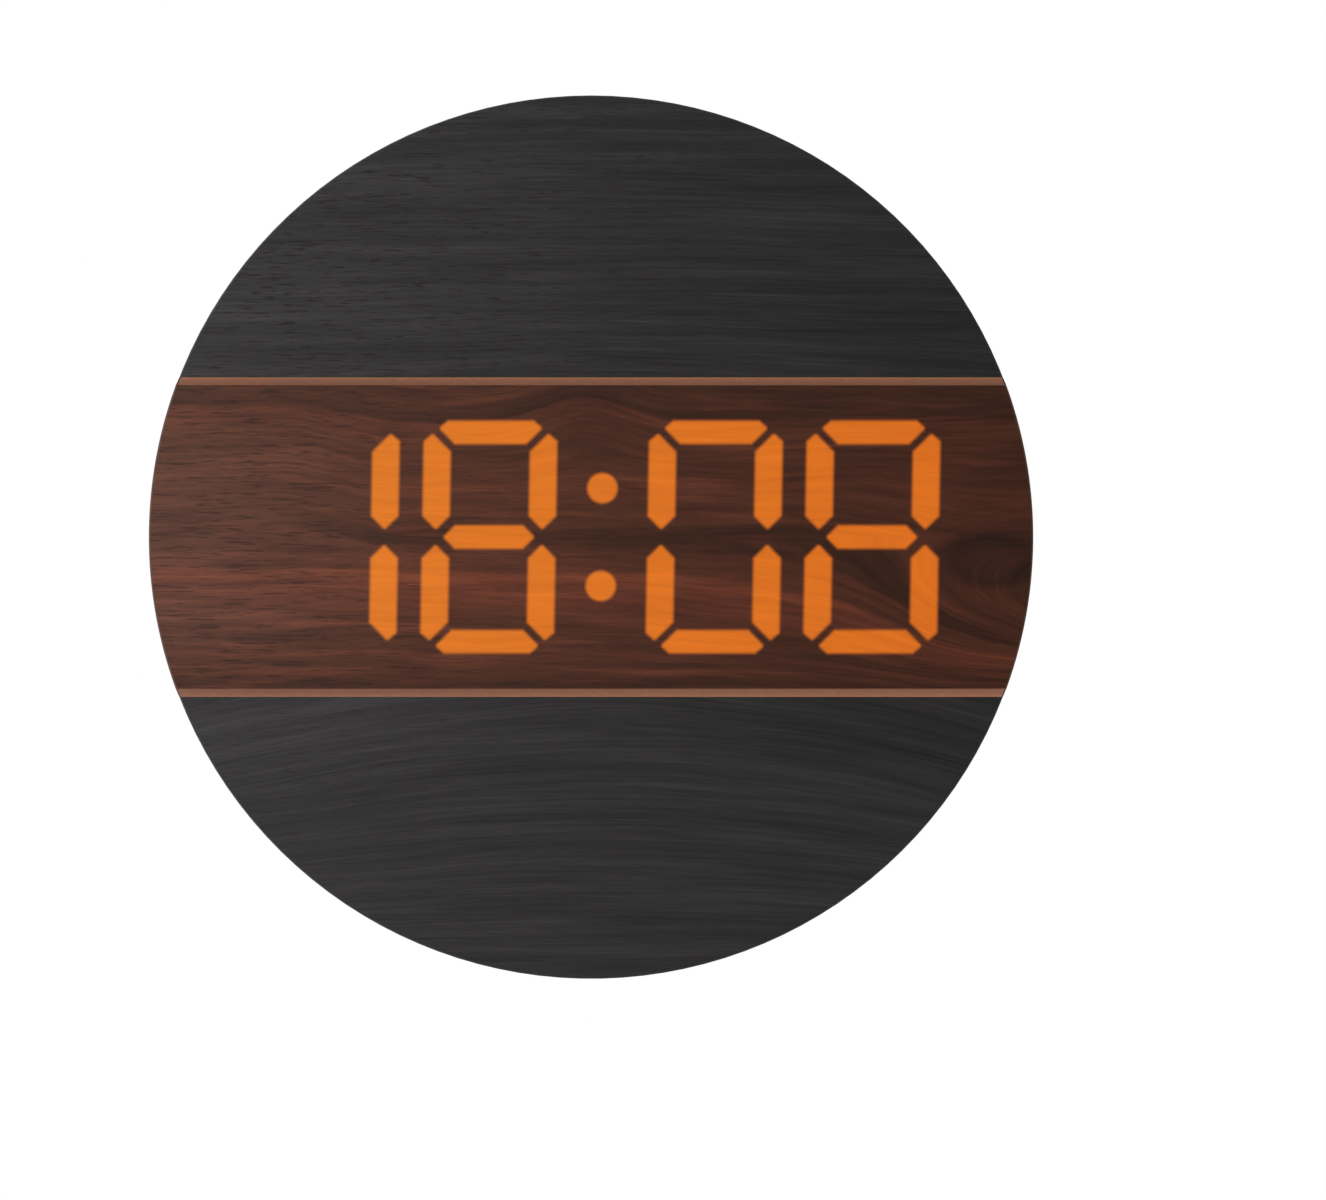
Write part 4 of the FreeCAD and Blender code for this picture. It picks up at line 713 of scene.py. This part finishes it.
spark, tree, shader = finish("abs_spark_eroded_black", Roughness=0.55, IOR=1.53)
where = add(tree, "TexCoord").outputs["Object"]
grit_at = add(tree, "Mapping", {"Vector": where, "Scale": pitch(0.6, 0.6, 0.6)})
grit = add(tree, "TexVoronoi", {"Vector": grit_at, "Scale": 1.0}, feature="SMOOTH_F1")
cloud_at = add(tree, "Mapping", {"Vector": where, "Scale": pitch(30, 30, 30)})
clouds = add(tree, "TexNoise", {"Vector": cloud_at, "Scale": 1.0, "Detail": 3.0})
tone = add(tree, "ValToRGB", {"Fac": clouds}, [(0.3, "#27282a"), (0.7, "#2d2e30")])
relief = add(tree, "Bump", {"Height": grit.outputs["Distance"], "Strength": 0.45, "Distance": 0.00008})
feed(tree, shader, Base_Color=tone, Normal=relief)
dress(spark, "rear_cover", "battery_door")


# ---- Cover screws --------------------------------------------------------------------------
# Countersunk cross-head screws in black zinc, slightly worn at the recess.

dress(plated("steel_black_zinc", "#2c2c2e", "#444446", 0.36, 0.4), "cover_screws")


# ---- Hangers -------------------------------------------------------------------------------
# Two stamped steel keyhole plates let into the back, zinc-plated and screwed down flush with
# bright zinc screws. The stamping leaves the sheet with a faint frosted grain.

dress(plated("steel_sheet_zinc_plated", "#989da2", "#bcbfc0", 0.36, 0.8), "hanger_plate_left", "hanger_plate_right")
dress(plated("steel_screw_zinc_plated", "#9aa0a8", "#c4c6c2", 0.3, 0.4), "hanger_screws")


# ---- Floor, lights and camera --------------------------------------------------------------
# The clock hangs on nothing, over a pale round floor whose edge fades out. A soft window on the left
# lights the front, and a broad lamp behind and above lights the back. The sky is plain white.

floor_height = -0.35
floor_radius = 1.5
fade_from, fade_to = 0.8, 1.45
bpy.ops.mesh.primitive_circle_add(vertices=96, radius=floor_radius, fill_type="NGON", location=(0, 0, floor_height))
floor = bpy.context.object
floor.name = "floor"
paper, tree, shader = finish("floor_paper_pale_grey", Roughness=0.9)
where = add(tree, "TexCoord").outputs["Object"]
tooth_at = add(tree, "Mapping", {"Vector": where, "Scale": pitch(3, 3, 3)})
tooth = add(tree, "TexNoise", {"Vector": tooth_at, "Scale": 1.0, "Detail": 3.0})
tone = add(tree, "ValToRGB", {"Fac": tooth}, [(0.3, "#e4e3e1"), (0.7, "#ecebe9")])
far = add(tree, "VectorMath", {0: where}, operation="LENGTH")
fade = add(tree, "MapRange", {"Value": far.outputs["Value"], "From Min": fade_from, "From Max": fade_to,
                              "To Min": 1.0, "To Max": 0.0}, interpolation_type="SMOOTHSTEP")
feed(tree, shader, Base_Color=tone, Alpha=fade)
floor.data.materials.append(paper)


def area_light(name, location, size, power):
    """A white square lamp aimed at the clock's middle."""
    lamp = bpy.data.lights.new(name, "AREA")
    lamp.size = size
    lamp.energy = power
    holder = bpy.data.objects.new(name, lamp)
    holder.location = location
    holder.rotation_euler = (-mathutils.Vector(location)).to_track_quat("-Z", "Y").to_euler()
    bpy.context.scene.collection.objects.link(holder)


area_light("window", (-0.53, -0.44, 0.1), 0.6, 7.2)
area_light("back_lamp", (1.0, 1.6, 1.0), 1.0, 40.0)

world = bpy.data.worlds.new("studio")
bpy.context.scene.world = world
world.use_nodes = True
sky = world.node_tree.nodes["Background"]
seen = add(world.node_tree, "LightPath").outputs["Is Camera Ray"]
sky_light = 0.2
strength = add(world.node_tree, "MapRange", {"Value": seen, "To Min": sky_light, "To Max": 1.0})
world.node_tree.links.new(strength.outputs[0], sky.inputs["Strength"])
sky.inputs["Color"].default_value = linear("#ffffff")
bpy.context.scene.view_settings.view_transform = "Standard"

# The camera stands 2.5 m in front of the clock, a little low and to the right of its middle.
camera_data = bpy.data.cameras.new("camera")
camera_data.sensor_width = 36.0
camera_data.lens = 203.5
camera = bpy.data.objects.new("camera", camera_data)
camera.location = (0.024, -2.518, -0.021)
camera.rotation_euler = (math.pi / 2, 0, 0)
bpy.context.scene.collection.objects.link(camera)
bpy.context.scene.camera = camera
